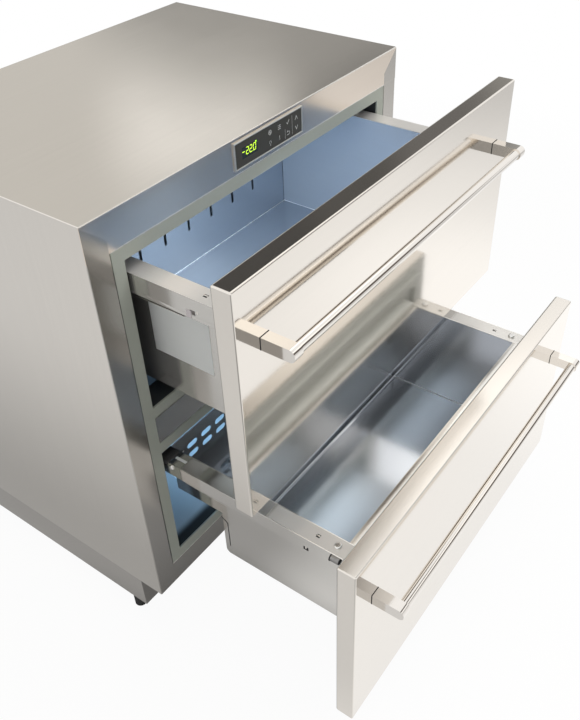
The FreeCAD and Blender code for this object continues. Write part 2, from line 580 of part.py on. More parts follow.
def make_machine_space():
    """Compressor, condenser, fan, pipes and electrics on a tray at the bottom rear."""
    tray_bottom = PLINTH_BOTTOM + TRAY_UP
    tray_top = tray_bottom + TRAY_SHEET
    rear = CABINET_DEPTH - SHEET
    tray_floor = block(across(INNER_WIDTH_HALF), (MACHINE_FRONT, rear), (tray_bottom, tray_top))
    tray_wall = block(across(INNER_WIDTH_HALF), (MACHINE_FRONT, MACHINE_FRONT + SHEET), (tray_top, BASE))
    tray = joined(tray_floor, tray_wall)
    for place in foot_places()[2:]:
        tray = tray.cut(rod(Vector(place.x, place.y, tray_bottom), Z_AXIS, FOOT_SOCKET_DIAMETER / 2, TRAY_SHEET))
    export("compressor_tray", tray)

    middle_y = (MACHINE_FRONT + SHEET + rear) / 2
    plate_bottom = tray_top + GROMMET_HEIGHT
    plate_top = plate_bottom + COMPRESSOR_PLATE_THICKNESS
    shell_top = plate_top + COMPRESSOR_HEIGHT
    plate = block((COMPRESSOR_X - COMPRESSOR_PLATE_X / 2, COMPRESSOR_X + COMPRESSOR_PLATE_X / 2),
                  (middle_y - COMPRESSOR_PLATE_Y / 2, middle_y + COMPRESSOR_PLATE_Y / 2), (plate_bottom, plate_top))
    shell = rod(Vector(COMPRESSOR_X, middle_y, plate_top), Z_AXIS, COMPRESSOR_DIAMETER / 2, COMPRESSOR_HEIGHT)
    shell = rounded(shell, COMPRESSOR_ROUND, lambda edge: edge.CenterOfMass.z > shell_top - 0.01)
    export("compressor", joined(shell, plate))
    grommets = []
    for side_x in (-1, 1):
        for side_y in (-1, 1):
            place = Vector(COMPRESSOR_X + side_x * (COMPRESSOR_PLATE_X / 2 - GROMMET_INSET),
                           middle_y + side_y * (COMPRESSOR_PLATE_Y / 2 - GROMMET_INSET), tray_top)
            grommets.append(rod(place, Z_AXIS, GROMMET_DIAMETER / 2, GROMMET_HEIGHT))
    export("compressor_grommets", *grommets)
    dish_z = (shell_top, shell_top + CONDENSATE_TRAY_HEIGHT)
    dish_x = (COMPRESSOR_X - CONDENSATE_TRAY_X / 2, COMPRESSOR_X + CONDENSATE_TRAY_X / 2)
    dish_y = (middle_y - CONDENSATE_TRAY_Y / 2, middle_y + CONDENSATE_TRAY_Y / 2)
    wall = CONDENSATE_TRAY_WALL
    dish = block(dish_x, dish_y, dish_z).cut(block((dish_x[0] + wall, dish_x[1] - wall),
                                                   (dish_y[0] + wall, dish_y[1] - wall),
                                                   (dish_z[0] + wall, dish_z[1])))
    export("condensate_tray", dish)

    coil_x = (CONDENSER_X - CONDENSER_LENGTH / 2, CONDENSER_X + CONDENSER_LENGTH / 2)
    coil_front = MACHINE_FRONT + SHEET + CONDENSER_FROM_WALL
    coil_y = (coil_front, coil_front + CONDENSER_DEPTH)
    coil_foot = COIL_TUBE_DIAMETER
    coil_z = (tray_top + coil_foot, tray_top + coil_foot + CONDENSER_HEIGHT)
    coil = finned_coil(coil_x, coil_y, coil_z, CONDENSER_FINS, CONDENSER_TUBE_ROWS, coil_y, (tray_top, coil_z[1]))
    export("condenser_coil", coil)
    fan_z = tray_top + FAN_FRAME / 2
    frame, rotor = axial_fan(Vector(CONDENSER_X, 0, fan_z), coil_y[1])
    export("condenser_fan_motor", frame)
    export("condenser_fan", rotor)
    make_refrigerant_line(coil_x, coil_y, coil_z, middle_y, plate_top)
    make_electrics(tray_top, rear)


def make_refrigerant_line(coil_x, coil_y, coil_z, middle_y, plate_top):
    """Discharge pipe to the condenser, filter drier, and the suction pipe up into the foam."""
    radius = PIPE_DIAMETER / 2
    pitch = CONDENSER_HEIGHT / CONDENSER_TUBE_ROWS
    coil_middle = (coil_y[0] + coil_y[1]) / 2
    tube_end = coil_x[0] - COIL_TUBE_DIAMETER / 2
    inlet_z = coil_z[0] + pitch / 2
    shell_side = COMPRESSOR_X + COMPRESSOR_DIAMETER / 2
    drier_x = (shell_side + tube_end) / 2
    drier = joined(rod(Vector(drier_x - DRIER_LENGTH / 2, coil_middle, inlet_z), X_AXIS, DRIER_DIAMETER / 2,
                       DRIER_LENGTH),
                   Part.makeCone(DRIER_DIAMETER / 2, radius, DRIER_NECK,
                                 Vector(drier_x + DRIER_LENGTH / 2, coil_middle, inlet_z), X_AXIS),
                   Part.makeCone(DRIER_DIAMETER / 2, radius, DRIER_NECK,
                                 Vector(drier_x - DRIER_LENGTH / 2, coil_middle, inlet_z), X_AXIS * -1))
    drier_end = drier_x + DRIER_LENGTH / 2 + DRIER_NECK
    liquid = rod(Vector(drier_end, coil_middle, inlet_z), X_AXIS, radius, tube_end - drier_end)
    drier_start = drier_x - DRIER_LENGTH / 2 - DRIER_NECK
    bend = PIPE_BEND
    rise_x = drier_start - 2 * bend
    front_y = MACHINE_FRONT + SHEET + bend
    capillary = pipe([Vector(drier_start, coil_middle, inlet_z), Vector(rise_x, coil_middle, inlet_z),
                      Vector(rise_x, front_y - bend / 2 + radius, inlet_z + 3 * bend),
                      Vector(rise_x, front_y - bend / 2 + radius, MACHINE_TOP)], radius / 2, bend)
    stub_z = plate_top + COMPRESSOR_HEIGHT * 0.45
    stub = shell_side - bend / 4
    discharge_top = coil_z[1] - pitch / 2
    lead_x = PIPE_LEAD_X
    discharge = pipe([Vector(stub, middle_y, stub_z), Vector(lead_x, middle_y, stub_z),
                      Vector(lead_x, middle_y, discharge_top), Vector(lead_x, coil_middle, discharge_top),
                      Vector(tube_end, coil_middle, discharge_top)], radius, bend)
    shell = rod(Vector(COMPRESSOR_X, middle_y, plate_top), Z_AXIS, COMPRESSOR_DIAMETER / 2, COMPRESSOR_HEIGHT)
    back_stub = Vector(COMPRESSOR_X - COMPRESSOR_DIAMETER / 2 + bend / 4, middle_y, stub_z)
    back_x = COMPRESSOR_X - COMPRESSOR_DIAMETER / 2 - PIPE_LEAD
    suction = pipe([back_stub, Vector(back_x, middle_y, stub_z), Vector(back_x, middle_y, MACHINE_TOP)], radius, bend)
    export("refrigerant_pipes", drier, liquid, capillary, discharge.cut(shell), suction.cut(shell))


def make_electrics(tray_top, rear):
    """Electrical box, mains inlet and the slotted rear grille."""
    box_x = (ELECTRIC_BOX_X - ELECTRIC_BOX_WIDTH / 2, ELECTRIC_BOX_X + ELECTRIC_BOX_WIDTH / 2)
    inlet_front = rear - INLET_BODY_DEPTH
    box_y = (inlet_front - ELECTRIC_BOX_DEPTH, inlet_front)
    box_z = (tray_top, tray_top + ELECTRIC_BOX_HEIGHT)
    case = block(box_x, box_y, box_z)
    export("electrical_box", rounded(case, ELECTRIC_BOX_ROUND, lambda edge: along(edge, Z_AXIS)))
    inlet_z = tray_top + ELECTRIC_BOX_HEIGHT / 2
    body_x = (ELECTRIC_BOX_X - INLET_BODY_WIDTH / 2, ELECTRIC_BOX_X + INLET_BODY_WIDTH / 2)
    body_z = (inlet_z - INLET_BODY_HEIGHT / 2, inlet_z + INLET_BODY_HEIGHT / 2)
    body = block(body_x, (inlet_front, CABINET_DEPTH), body_z)
    flange_x = (ELECTRIC_BOX_X - INLET_WIDTH / 2, ELECTRIC_BOX_X + INLET_WIDTH / 2)
    flange_z = (inlet_z - INLET_HEIGHT / 2, inlet_z + INLET_HEIGHT / 2)
    flange = block(flange_x, (rear - INLET_PLATE, rear), flange_z)
    socket = block((body_x[0] + INLET_WALL, body_x[1] - INLET_WALL), (inlet_front + INLET_WALL, CABINET_DEPTH),
                   (body_z[0] + INLET_WALL, body_z[1] - INLET_WALL))
    export("mains_inlet", joined(body, flange).cut(socket))

    tray_bottom = PLINTH_BOTTOM + TRAY_UP
    grille = block(across(INNER_WIDTH_HALF), (rear, CABINET_DEPTH), (tray_bottom, MACHINE_TOP))
    middle_z = (tray_bottom + MACHINE_TOP) / 2
    rows = [middle_z + place for place in spread(GRILLE_ROWS, GRILLE_SLOT_HEIGHT + GRILLE_ROW_GAP)]
    count = int((CABINET_WIDTH - 2 * GRILLE_MARGIN) / GRILLE_SLOT_PITCH)
    cuts = []
    for place in spread(count, GRILLE_SLOT_PITCH):
        for height in rows:
            if abs(place - ELECTRIC_BOX_X) > INLET_WIDTH / 2 + GRILLE_SLOT_PITCH:
                cuts.append(slot(Vector(place, rear, height), GRILLE_SLOT_HEIGHT, GRILLE_SLOT_WIDTH, SHEET, Z_AXIS))
    cuts.append(block(body_x, (rear, CABINET_DEPTH), body_z))
    export("rear_grille", grille.cut(Part.makeCompound(cuts)))


def foot_places():
    """Foot axes: front right, front left, rear right, rear left."""
    front_x = HALF_WIDTH - FOOT_INSET_X
    front_y = TOE_RECESS + FOOT_INSET_FRONT
    rear_x = HALF_WIDTH - FOOT_REAR_INSET_X
    rear_y = CABINET_DEPTH - FOOT_INSET_BACK
    return [Vector(front_x, front_y, 0), Vector(-front_x, front_y, 0),
            Vector(rear_x, rear_y, 0), Vector(-rear_x, rear_y, 0)]


def make_feet():
    """Four screw feet in sockets under the cabinet."""
    socket_bottom = PLINTH_BOTTOM + FOOT_SOCKET_UP
    names = ["foot_front_right", "foot_front_left", "foot_rear_right", "foot_rear_left"]
    sockets = []
    for name, place in zip(names, foot_places()):
        pad = rod(place, Z_AXIS, FOOT_PAD_DIAMETER / 2, FOOT_PAD_HEIGHT)
        pad = pad.makeChamfer(FOOT_PAD_EDGE, [edge for edge in pad.Edges
                                              if edge.CenterOfMass.z > FOOT_PAD_HEIGHT - 0.01])
        stem = rod(place, Z_AXIS, FOOT_STEM_DIAMETER / 2, FOOT_STEM_TOP)
        export(name, joined(pad, stem))
        base = Vector(place.x, place.y, socket_bottom)
        tube = rod(base, Z_AXIS, FOOT_SOCKET_DIAMETER / 2, BASE - socket_bottom)
        sockets.append(tube.cut(rod(base, Z_AXIS, FOOT_STEM_DIAMETER / 2 + FOOT_FIT, BASE - socket_bottom)))
    export("foot_sockets", *sockets)


def runner_section(rim):
    """Width limits of the runner, shared by its three members."""
    middle = (BOX_HALF + BOX_SHEET + FLANGE_EDGE - BOX_SHEET) / 2
    return (middle - RUNNER_WIDTH / 2, middle + RUNNER_WIDTH / 2), rim - BOX_SHEET


def runner_channel(x, y, web_z, leg_z):
    """Channel with a web and two legs of the runner's sheet."""
    return joined(block(x, y, web_z), block((x[0], x[0] + RUNNER_SHEET), y, leg_z),
                  block((x[1] - RUNNER_SHEET, x[1]), y, leg_z))


def make_fixed_runners():
    """Cabinet members of the four runners, on brackets from the liner."""
    members = []
    for rim in (UPPER_RIM, LOWER_RIM):
        x, top = runner_section(rim)
        shut_front = runner_start(-SHUT_GAP)
        y = (shut_front, shut_front + RUNNER_LENGTH)
        web_top = top - RUNNER_SHEET - RUNNER_BAR_HEIGHT - 2 * RUNNER_CLEARANCE
        web_z = (web_top - RUNNER_SHEET, web_top)
        channel = runner_channel(x, y, web_z, (web_top, web_top + RUNNER_LOWER_LEG))
        arm = block((x[1] - RUNNER_SHEET, LINER_HALF), y, web_z)
        foot = block((LINER_HALF - RUNNER_SHEET, LINER_HALF), y, (web_z[0] - RUNNER_BRACKET, web_z[1]))
        members += both_sides(joined(channel, arm, foot))
    export("fixed_runners", *members)


def runner_start(front_back):
    """Front end of a runner for a front whose back is at front_back."""
    return front_back + PAD_DEPTH + BOX_SHEET + RUNNER_FROM_BOX_FRONT


def make_middle_runners(name, rim, opened):
    """Middle members of one drawer's runners; they travel half as far as the drawer."""
    x, top = runner_section(rim)
    inside = RUNNER_SHEET + RUNNER_CLEARANCE
    start = runner_start(-SHUT_GAP) - (opened - SHUT_GAP) / 2
    bar_top = top - RUNNER_SHEET - RUNNER_CLEARANCE
    y = (start, start + RUNNER_LENGTH)
    bar = block((x[0] + inside, x[1] - inside), y, (bar_top - RUNNER_BAR_HEIGHT, bar_top))
    hollow = inside + RUNNER_SHEET
    bar = bar.cut(block((x[0] + hollow, x[1] - hollow), y,
                        (bar_top - RUNNER_BAR_HEIGHT + RUNNER_SHEET, bar_top - RUNNER_SHEET)))
    export(name + "_middle_runners", *both_sides(bar))


def make_front(name, opened, bottom, top, opening):
    """Drawer front: folded skin, foam core, inner panel with raised middle, and seal."""
    back = -opened
    face = back - FRONT_THICKNESS
    half = FRONT_WIDTH / 2
    slab = block(across(half), (face, back), (bottom, top))
    slab = slab.makeFillet(FRONT_EDGE_ROUND, slab.Edges)
    skin = FRONT_SKIN
    cavity = block(across(half - skin), (face + skin, back - skin), (bottom + skin, top - skin))
    fold = FRONT_BACK_RETURN
    window = block(across(half - fold), (back - skin, back), (bottom + fold, top - fold))
    export(name + "_front_skin", slab.cut(joined(cavity, window)))

    panel_back = back + PANEL_SHEET
    panel = block(across(half - PANEL_EDGE), (back, panel_back), (bottom + PANEL_EDGE, top - PANEL_EDGE))
    pad_half = OPENING_HALF - PAD_INSET
    pad_z = (opening[0] + PAD_INSET, opening[1] - PAD_INSET)
    pad = block(across(pad_half), (back, back + PAD_DEPTH), pad_z)
    pad = rounded(pad, PAD_CORNER, lambda edge: along(edge, Y_AXIS))
    pad = rounded(pad, PAD_EDGE, lambda edge: edge.CenterOfMass.y > back + PAD_DEPTH - 0.01)
    inset = PAD_CORNER * 0.5
    core_front = back - skin
    pad_core = block(across(pad_half - inset), (core_front, back + PAD_DEPTH - PAD_EDGE),
                     (pad_z[0] + inset, pad_z[1] - inset))
    panel_core = block(across(pad_half - inset), (back, back + PAD_DEPTH - PAD_EDGE),
                       (pad_z[0] + inset, pad_z[1] - inset))
    export(name + "_inner_panel", joined(panel, pad).cut(panel_core))
    export(name + "_front_foam", joined(cavity, window, pad_core))

    seal_x = OPENING_HALF + STRIP_WIDTH / 2
    seal_z = (opening[0] - STRIP_WIDTH / 2, opening[1] + STRIP_WIDTH / 2)
    base_out = SEAL_BASE_WIDTH / 2
    bulb_out = SEAL_BULB_WIDTH / 2
    base = ring(across(seal_x + base_out), (seal_z[0] - base_out, seal_z[1] + base_out), SEAL_BASE_WIDTH,
                (panel_back, panel_back + SEAL_BASE_HEIGHT))
    bulb = ring(across(seal_x + bulb_out), (seal_z[0] - bulb_out, seal_z[1] + bulb_out), SEAL_BULB_WIDTH,
                (panel_back, panel_back + SEAL_HEIGHT))
    bulb = rounded(bulb, SEAL_BULB_WIDTH * 0.3, lambda edge: edge.CenterOfMass.y > panel_back + SEAL_HEIGHT - 0.01)
    export(name + "_seal", joined(base, bulb))


def make_handle(name, opened, top):
    """Round bar between two posts with rounded noses."""
    face = -opened - FRONT_THICKNESS
    level = top - HANDLE_BELOW_TOP
    end = HANDLE_LENGTH / 2
    nose = face - POST_REACH
    post = block((end - POST_WIDTH, end), (nose, face), (level - POST_HEIGHT / 2, level + POST_HEIGHT / 2))
    nose_round = min(POST_NOSE, POST_HEIGHT * 0.48)
    post = rounded(post, nose_round, lambda edge: along(edge, X_AXIS) and edge.CenterOfMass.y < nose + 0.01)
    export(name + "_handle_posts", *both_sides(post))
    inner = end - POST_WIDTH
    export(name + "_handle_bar", rod(Vector(-inner, nose + BAR_FROM_NOSE, level), X_AXIS, BAR_DIAMETER / 2, 2 * inner))


def make_box_side(opened, rim, outline_yz, depth, bend=None):
    """Right-hand wall of a drawer box with its flange and down-turned lip; bend is a corner to round."""
    start = -opened + PAD_DEPTH
    finish = -opened + depth
    corners = [Vector(BOX_HALF, y, z) for y, z in outline_yz]
    wall = Part.Face(Part.makePolygon(corners + corners[:1])).extrude(X_AXIS * BOX_SHEET)
    if bend:
        wall = rounded(wall, LOWER_TUB_ROUND, lambda edge: along(edge, X_AXIS)
                       and abs(edge.CenterOfMass.y - bend[0]) + abs(edge.CenterOfMass.z - bend[1]) < 0.01)
    flange = block((BOX_HALF, FLANGE_EDGE), (start, finish), (rim - BOX_SHEET, rim))
    lip = block((FLANGE_EDGE - BOX_SHEET, FLANGE_EDGE), (start, finish), (rim - LIP_HEIGHT, rim))
    side = joined(wall, flange, lip)
    hole_y = -opened + LIP_HOLE_FROM_FRONT
    hole_z = rim - LIP_HEIGHT + LIP_HOLE_UP
    side = side.cut(block((FLANGE_EDGE - BOX_SHEET, FLANGE_EDGE), (hole_y, hole_y + LIP_HOLE_LENGTH),
                          (hole_z, hole_z + LIP_HOLE_HEIGHT)))
    return side.cut(Part.makeCompound(bolt_holes(opened, rim)))


def bolt_axes(opened, rim):
    """Flange bolts on the right-hand side, at the runner's middle."""
    x, _ = runner_section(rim)
    return [Vector((x[0] + x[1]) / 2, -opened + place, rim) for place in BOLT_PLACES]


def bolt_holes(opened, rim):
    """Clearance holes through the flange and the runner under it."""
    radius = BOLT_SHANK_DIAMETER / 2 + BOLT_CLEARANCE
    drop = BOX_SHEET + RUNNER_SHEET
    return [rod(axis - Z_AXIS * drop, Z_AXIS, radius, drop) for axis in bolt_axes(opened, rim)]


def make_flange_fittings(name, opened, rim):
    """Drawer members of the runners and the bolts that hold them to the flanges."""
    x, top = runner_section(rim)
    start = runner_start(-opened)
    channel = runner_channel(x, (start, start + RUNNER_LENGTH), (top - RUNNER_SHEET, top),
                             (top - RUNNER_SHEET - RUNNER_UPPER_LEG, top))
    channel = channel.cut(Part.makeCompound(bolt_holes(opened, rim)))
    export(name + "_drawer_runners", *both_sides(channel))
    bolts = []
    for axis in bolt_axes(opened, rim):
        head = rod(axis, Z_AXIS, BOLT_HEAD_DIAMETER / 2, BOLT_HEAD_HEIGHT)
        head = rounded(head, BOLT_HEAD_HEIGHT * 0.6, lambda edge: edge.CenterOfMass.z > rim + BOLT_HEAD_HEIGHT - 0.01)
        drop = BOX_SHEET + RUNNER_SHEET
        shank = rod(axis - Z_AXIS * drop, Z_AXIS, BOLT_SHANK_DIAMETER / 2, drop)
        bolts += both_sides(joined(head, shank))
    export(name + "_flange_bolts", *bolts)


def make_upper_drawer():
    """Upper drawer with one full-depth box."""
    make_front("upper", UPPER_OPEN, UPPER_FRONT_BOTTOM, UPPER_FRONT_TOP, (UPPER_OPENING_BOTTOM, UPPER_OPENING_TOP))
    make_handle("upper", UPPER_OPEN, UPPER_FRONT_TOP)
    start = -UPPER_OPEN + PAD_DEPTH
    finish = -UPPER_OPEN + UPPER_BOX_DEPTH
    bottom = UPPER_RIM - UPPER_BOX_HEIGHT
    outline = [(start, bottom), (finish, bottom), (finish, UPPER_RIM), (start, UPPER_RIM)]
    export("upper_box_sides", *both_sides(make_box_side(UPPER_OPEN, UPPER_RIM, outline, UPPER_BOX_DEPTH)))
    sheet = BOX_SHEET
    front = block(across(BOX_HALF), (start, start + sheet), (bottom, UPPER_RIM))
    back = block(across(BOX_HALF), (finish - sheet, finish), (bottom, UPPER_RIM))
    slot_z = UPPER_RIM - UPPER_SLOT_BELOW_RIM - UPPER_SLOT_HEIGHT / 2
    slots = [slot(Vector(place, finish - sheet, slot_z), UPPER_SLOT_HEIGHT, UPPER_SLOT_WIDTH, sheet, Z_AXIS)
             for place in spread(UPPER_SLOT_COUNT, UPPER_SLOT_PITCH)]
    export("upper_box_ends", front, back.cut(Part.makeCompound(slots)))
    export("upper_box_floor", block(across(BOX_HALF), (start + sheet, finish - sheet), (bottom, bottom + sheet)))
    make_flange_fittings("upper", UPPER_OPEN, UPPER_RIM)
    make_middle_runners("upper", UPPER_RIM, UPPER_OPEN)


def make_lower_drawer():
    """Lower drawer: a deep tub in front and a shallow tray behind, over the machine space."""
    make_front("lower", LOWER_OPEN, LOWER_FRONT_BOTTOM, LOWER_FRONT_TOP, (LOWER_OPENING_BOTTOM, LOWER_OPENING_TOP))
    make_handle("lower", LOWER_OPEN, LOWER_FRONT_TOP)
    start = -LOWER_OPEN + PAD_DEPTH
    step = -LOWER_OPEN + LOWER_TUB_DEPTH
    finish = -LOWER_OPEN + LOWER_BOX_DEPTH
    bottom = LOWER_RIM - LOWER_BOX_HEIGHT
    tray = LOWER_TRAY_BOTTOM
    outline = [(start, bottom), (step, bottom), (step, tray), (finish, tray), (finish, LOWER_RIM), (start, LOWER_RIM)]
    export("lower_box_sides", *both_sides(make_box_side(LOWER_OPEN, LOWER_RIM, outline, LOWER_BOX_DEPTH,
                                                             (step, bottom))))
    sheet = BOX_SHEET
    front = block(across(BOX_HALF), (start, start + sheet), (bottom, LOWER_RIM))
    bend = LOWER_TUB_ROUND
    riser = block(across(BOX_HALF), (step - sheet, step), (bottom + bend, tray))
    back = block(across(BOX_HALF), (finish - sheet, finish), (tray, LOWER_RIM))
    slots = [slot(Vector(place, finish - sheet, LOWER_RIM - drop), LOWER_SLOT_LENGTH, LOWER_SLOT_WIDTH, sheet, X_AXIS)
             for place in spread(LOWER_SLOT_COUNT, LOWER_SLOT_PITCH) for drop in LOWER_SLOT_ROWS]
    export("lower_box_ends", front, riser, back.cut(Part.makeCompound(slots)))
    tub_floor = block(across(BOX_HALF), (start + sheet, step - bend), (bottom, bottom + sheet))
    bend_start = Vector(-BOX_HALF, step - bend, bottom + bend)
    tube = rod(bend_start, X_AXIS, bend, 2 * BOX_HALF).cut(rod(bend_start, X_AXIS, bend - sheet, 2 * BOX_HALF))
    tub_bend = tube.common(block(across(BOX_HALF), (step - bend, step), (bottom, bottom + bend)))
    tray_floor = block(across(BOX_HALF), (step - sheet, finish - sheet), (tray, tray + sheet))
    export("lower_box_floors", tub_floor, tub_bend, tray_floor)
    make_flange_fittings("lower", LOWER_OPEN, LOWER_RIM)
    make_middle_runners("lower", LOWER_RIM, LOWER_OPEN)


def main():
    """Build every piece and write it to parts/."""
    os.makedirs("parts", exist_ok=True)
    make_outer_cabinet()
    make_inner_cabinet()
    make_control_panel()
    make_evaporator()
    make_machine_space()
    make_feet()
    make_fixed_runners()
    make_upper_drawer()
    make_lower_drawer()


main()
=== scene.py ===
"""Looks of the two-drawer built-in freezer: finishes, small pieces, studio and camera.

Lengths of the part are in millimetres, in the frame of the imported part. The studio is in metres.
"""

import logging
import math
from dataclasses import dataclass
from enum import Enum
from typing import Any, Iterable, Optional, Sequence, Union

import bmesh
import bpy
from mathutils import Matrix, Vector


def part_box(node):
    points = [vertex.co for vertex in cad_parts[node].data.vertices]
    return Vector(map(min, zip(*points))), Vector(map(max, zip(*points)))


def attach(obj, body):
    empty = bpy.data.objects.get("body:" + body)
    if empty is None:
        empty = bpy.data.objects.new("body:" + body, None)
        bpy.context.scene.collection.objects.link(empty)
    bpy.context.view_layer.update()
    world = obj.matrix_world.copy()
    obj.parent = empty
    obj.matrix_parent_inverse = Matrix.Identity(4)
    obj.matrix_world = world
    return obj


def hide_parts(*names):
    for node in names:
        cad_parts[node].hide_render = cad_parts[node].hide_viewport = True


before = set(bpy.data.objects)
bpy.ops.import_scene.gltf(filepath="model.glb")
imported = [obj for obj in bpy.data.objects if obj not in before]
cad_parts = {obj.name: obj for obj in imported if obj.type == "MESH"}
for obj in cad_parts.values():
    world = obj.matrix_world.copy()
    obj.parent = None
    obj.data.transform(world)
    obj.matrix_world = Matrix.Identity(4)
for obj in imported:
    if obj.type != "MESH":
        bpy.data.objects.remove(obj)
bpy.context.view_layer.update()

LOG = logging.getLogger("freezer")
MM = 0.001
SIDES = (-1, 1)
CREASE = math.radians(35)  # faces that meet at less than this are shaded as one
BEVEL_STEPS = 2
ROUND_SIDES = 24
SCREW_STEPS = 16
ARC_STEP = 20  # degrees
SHARP = 0.3  # half the width of a sharp change of finish
SOFT = 1.0  # half the width of a soft one
FINE_GRAIN = (6.0, 1400.0)  # cells to the metre along and across the grain
BROAD_GRAIN = (1.2, 120.0)
FINE_RELIEF = 0.00001  # metres
WHITE = (1.0, 1.0, 1.0)

Colour = tuple[float, float, float]
Point = tuple[float, float, float]
Flat = tuple[float, float]


class Axis(Enum):
    """Direction of a grain, or axis of a round piece."""

    X = (1.0, 0.0, 0.0)
    Y = (0.0, 1.0, 0.0)
    Z = (0.0, 0.0, 1.0)


# ---------------------------------------------------------------- shader maths


class Wire:
    """An output socket that Python's operators can be used on."""

    def __init__(self, graph: "Graph", socket: bpy.types.NodeSocket) -> None:
        """Keeps the socket and the graph that new nodes go into."""
        self.graph = graph
        self.socket = socket

    def _math(self, operation: str, *values: Any) -> "Wire":
        """Adds a Math node on one or two values or wires."""
        return self.graph.add("Math", {"operation": operation}, dict(enumerate(values)))

    def __add__(self, other: Any) -> "Wire":
        """self + other."""
        return self._math("ADD", self, other)

    def __radd__(self, other: Any) -> "Wire":
        """other + self."""
        return self._math("ADD", other, self)

    def __sub__(self, other: Any) -> "Wire":
        """self - other."""
        return self._math("SUBTRACT", self, other)

    def __rsub__(self, other: Any) -> "Wire":
        """other - self."""
        return self._math("SUBTRACT", other, self)

    def __mul__(self, other: Any) -> "Wire":
        """self * other."""
        return self._math("MULTIPLY", self, other)

    def __rmul__(self, other: Any) -> "Wire":
        """other * self."""
        return self._math("MULTIPLY", other, self)

    def __pow__(self, other: Any) -> "Wire":
        """self ** other."""
        return self._math("POWER", self, other)

    def __abs__(self) -> "Wire":
        """Size without sign."""
        return self._math("ABSOLUTE", self)

    def most(self, other: Any) -> "Wire":
        """The larger of the two."""
        return self._math("MAXIMUM", self, other)

    def rise(self, low: float, high: float) -> "Wire":
        """Smooth step from 0 at low to 1 at high; low may be the larger one."""
        sockets = {"Value": self, "From Min": low, "From Max": high}
        return self.graph.add("MapRange", {"interpolation_type": "SMOOTHSTEP"}, sockets)

    def past(self, place: float, soft: float) -> "Wire":
        """Smooth step round a place in millimetres; a negative half width turns it round."""
        return self.rise((place - soft) * MM, (place + soft) * MM)


Value = Union[Wire, float, Sequence[float]]
Sockets = dict[Union[str, int], Value]


class Graph:
    """Node tree of one material or of the world."""

    def __init__(self, tree: bpy.types.NodeTree) -> None:
        """Empties the tree and keeps it."""
        self.tree = tree
        tree.nodes.clear()

    def feed(self, socket: bpy.types.NodeSocket, value: Value) -> None:
        """Links a wire to a socket, or sets a plain value on it.

        Args:
            socket: The input.
            value: A wire, a number, or three numbers for a colour or vector.
        """
        if isinstance(value, Wire):
            self.tree.links.new(value.socket, socket)
        else:
            socket.default_value = (*value, 1.0) if socket.type == "RGBA" else value

    def add(
        self,
        kind: str,
        settings: Optional[dict[str, Any]] = None,
        sockets: Optional[Sockets] = None,
        out: Union[str, int] = 0,
    ) -> Wire:
        """Adds one node.

        Args:
            kind: Node type without its ShaderNode prefix.
            settings: Properties, which are set first.
            sockets: Values or wires of the inputs.
            out: Name or number of the output to return.

        Returns:
            The chosen output.
        """
        node = self.tree.nodes.new("ShaderNode" + kind)
        for key, value in (settings or {}).items():
            setattr(node, key, value)
        for key, value in (sockets or {}).items():
            self.feed(node.inputs[key], value)
        return Wire(self, node.outputs[out])

    def mix(self, share: Value, first: Value, second: Value, blend: str = "MIX") -> Wire:
        """Mixes two colours, share being how much of the second there is."""
        settings = {"data_type": "RGBA", "blend_type": blend}
        return self.add("Mix", settings, {0: share, 6: first, 7: second}, 2)

    def shaded(self, colour: Value, level: Wire) -> Wire:
        """A colour times a grey level or another colour."""
        return self.mix(1.0, colour, level, "MULTIPLY")

    def place(self) -> Wire:
        """Object coordinates in metres."""
        return self.add("TexCoord", out="Object")

    def parts(self, vector: Wire) -> tuple[Wire, Wire, Wire]:
        """The x, y and z of a vector."""
        node = self.add("SeparateXYZ", None, {0: vector}).socket.node
        return tuple(Wire(self, output) for output in node.outputs)

    def axes(self) -> tuple[Wire, Wire, Wire]:
        """The x, y and z of the place on the object."""
        return self.parts(self.place())

    def tinted(self, made: Sockets, share: Wire, colour: Colour) -> Sockets:
        """The sockets with another base colour where the share is 1."""
        return {**made, "Base Color": self.mix(share, made["Base Color"], colour)}

    def noise(self, vector: Wire, scale: float, detail: float = 2.0, rough: float = 0.5) -> Wire:
        """Fractal noise between 0 and 1, its scale in cells to the metre."""
        sockets = {"Vector": vector, "Scale": scale, "Detail": detail, "Roughness": rough}
        return self.add("TexNoise", None, sockets)

    def cells(self, vector: Wire, scale: float, out: str) -> Wire:
        """One output of a cell pattern, its scale in cells to the metre."""
        return self.add("TexVoronoi", None, {"Vector": vector, "Scale": scale}, out)

    def stretched(self, vector: Wire, scale: Sequence[float]) -> Wire:
        """A vector scaled along its axes by a Mapping node."""
        return self.add("Mapping", None, {"Vector": vector, "Scale": scale})

    def bump(self, height: Wire, distance: float) -> Wire:
        """Normal of a height field, its depth given in metres."""
        return self.add("Bump", None, {"Height": height, "Distance": distance, "Strength": 1.0})

    def surface(self, shader: Wire, output: str = "OutputMaterial") -> None:
        """Ends the tree with a new output node of that type."""
        node = self.tree.nodes.new("ShaderNode" + output)
        self.tree.links.new(shader.socket, node.inputs["Surface"])


# ---------------------------------------------------------------- finishes


@dataclass(frozen=True)
class Finish:
    """A named finish: colour in linear light and roughness."""

    name: str
    colour: Colour
    roughness: float

    def sockets(self, graph: Graph) -> Sockets:
        """The Principled sockets of this finish; each kind of finish has its own."""
        raise NotImplementedError

    def material(self) -> bpy.types.Material:
        """Finds the material of this name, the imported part's own ones among them, or makes it.

        Returns:
            The material.
        """
        found = bpy.data.materials.get(self.name)
        if found is not None:
            return found
        made = bpy.data.materials.new(self.name)
        made.use_nodes = True
        graph = Graph(made.node_tree)
        graph.surface(graph.add("BsdfPrincipled", None, self.sockets(graph)))
        return made


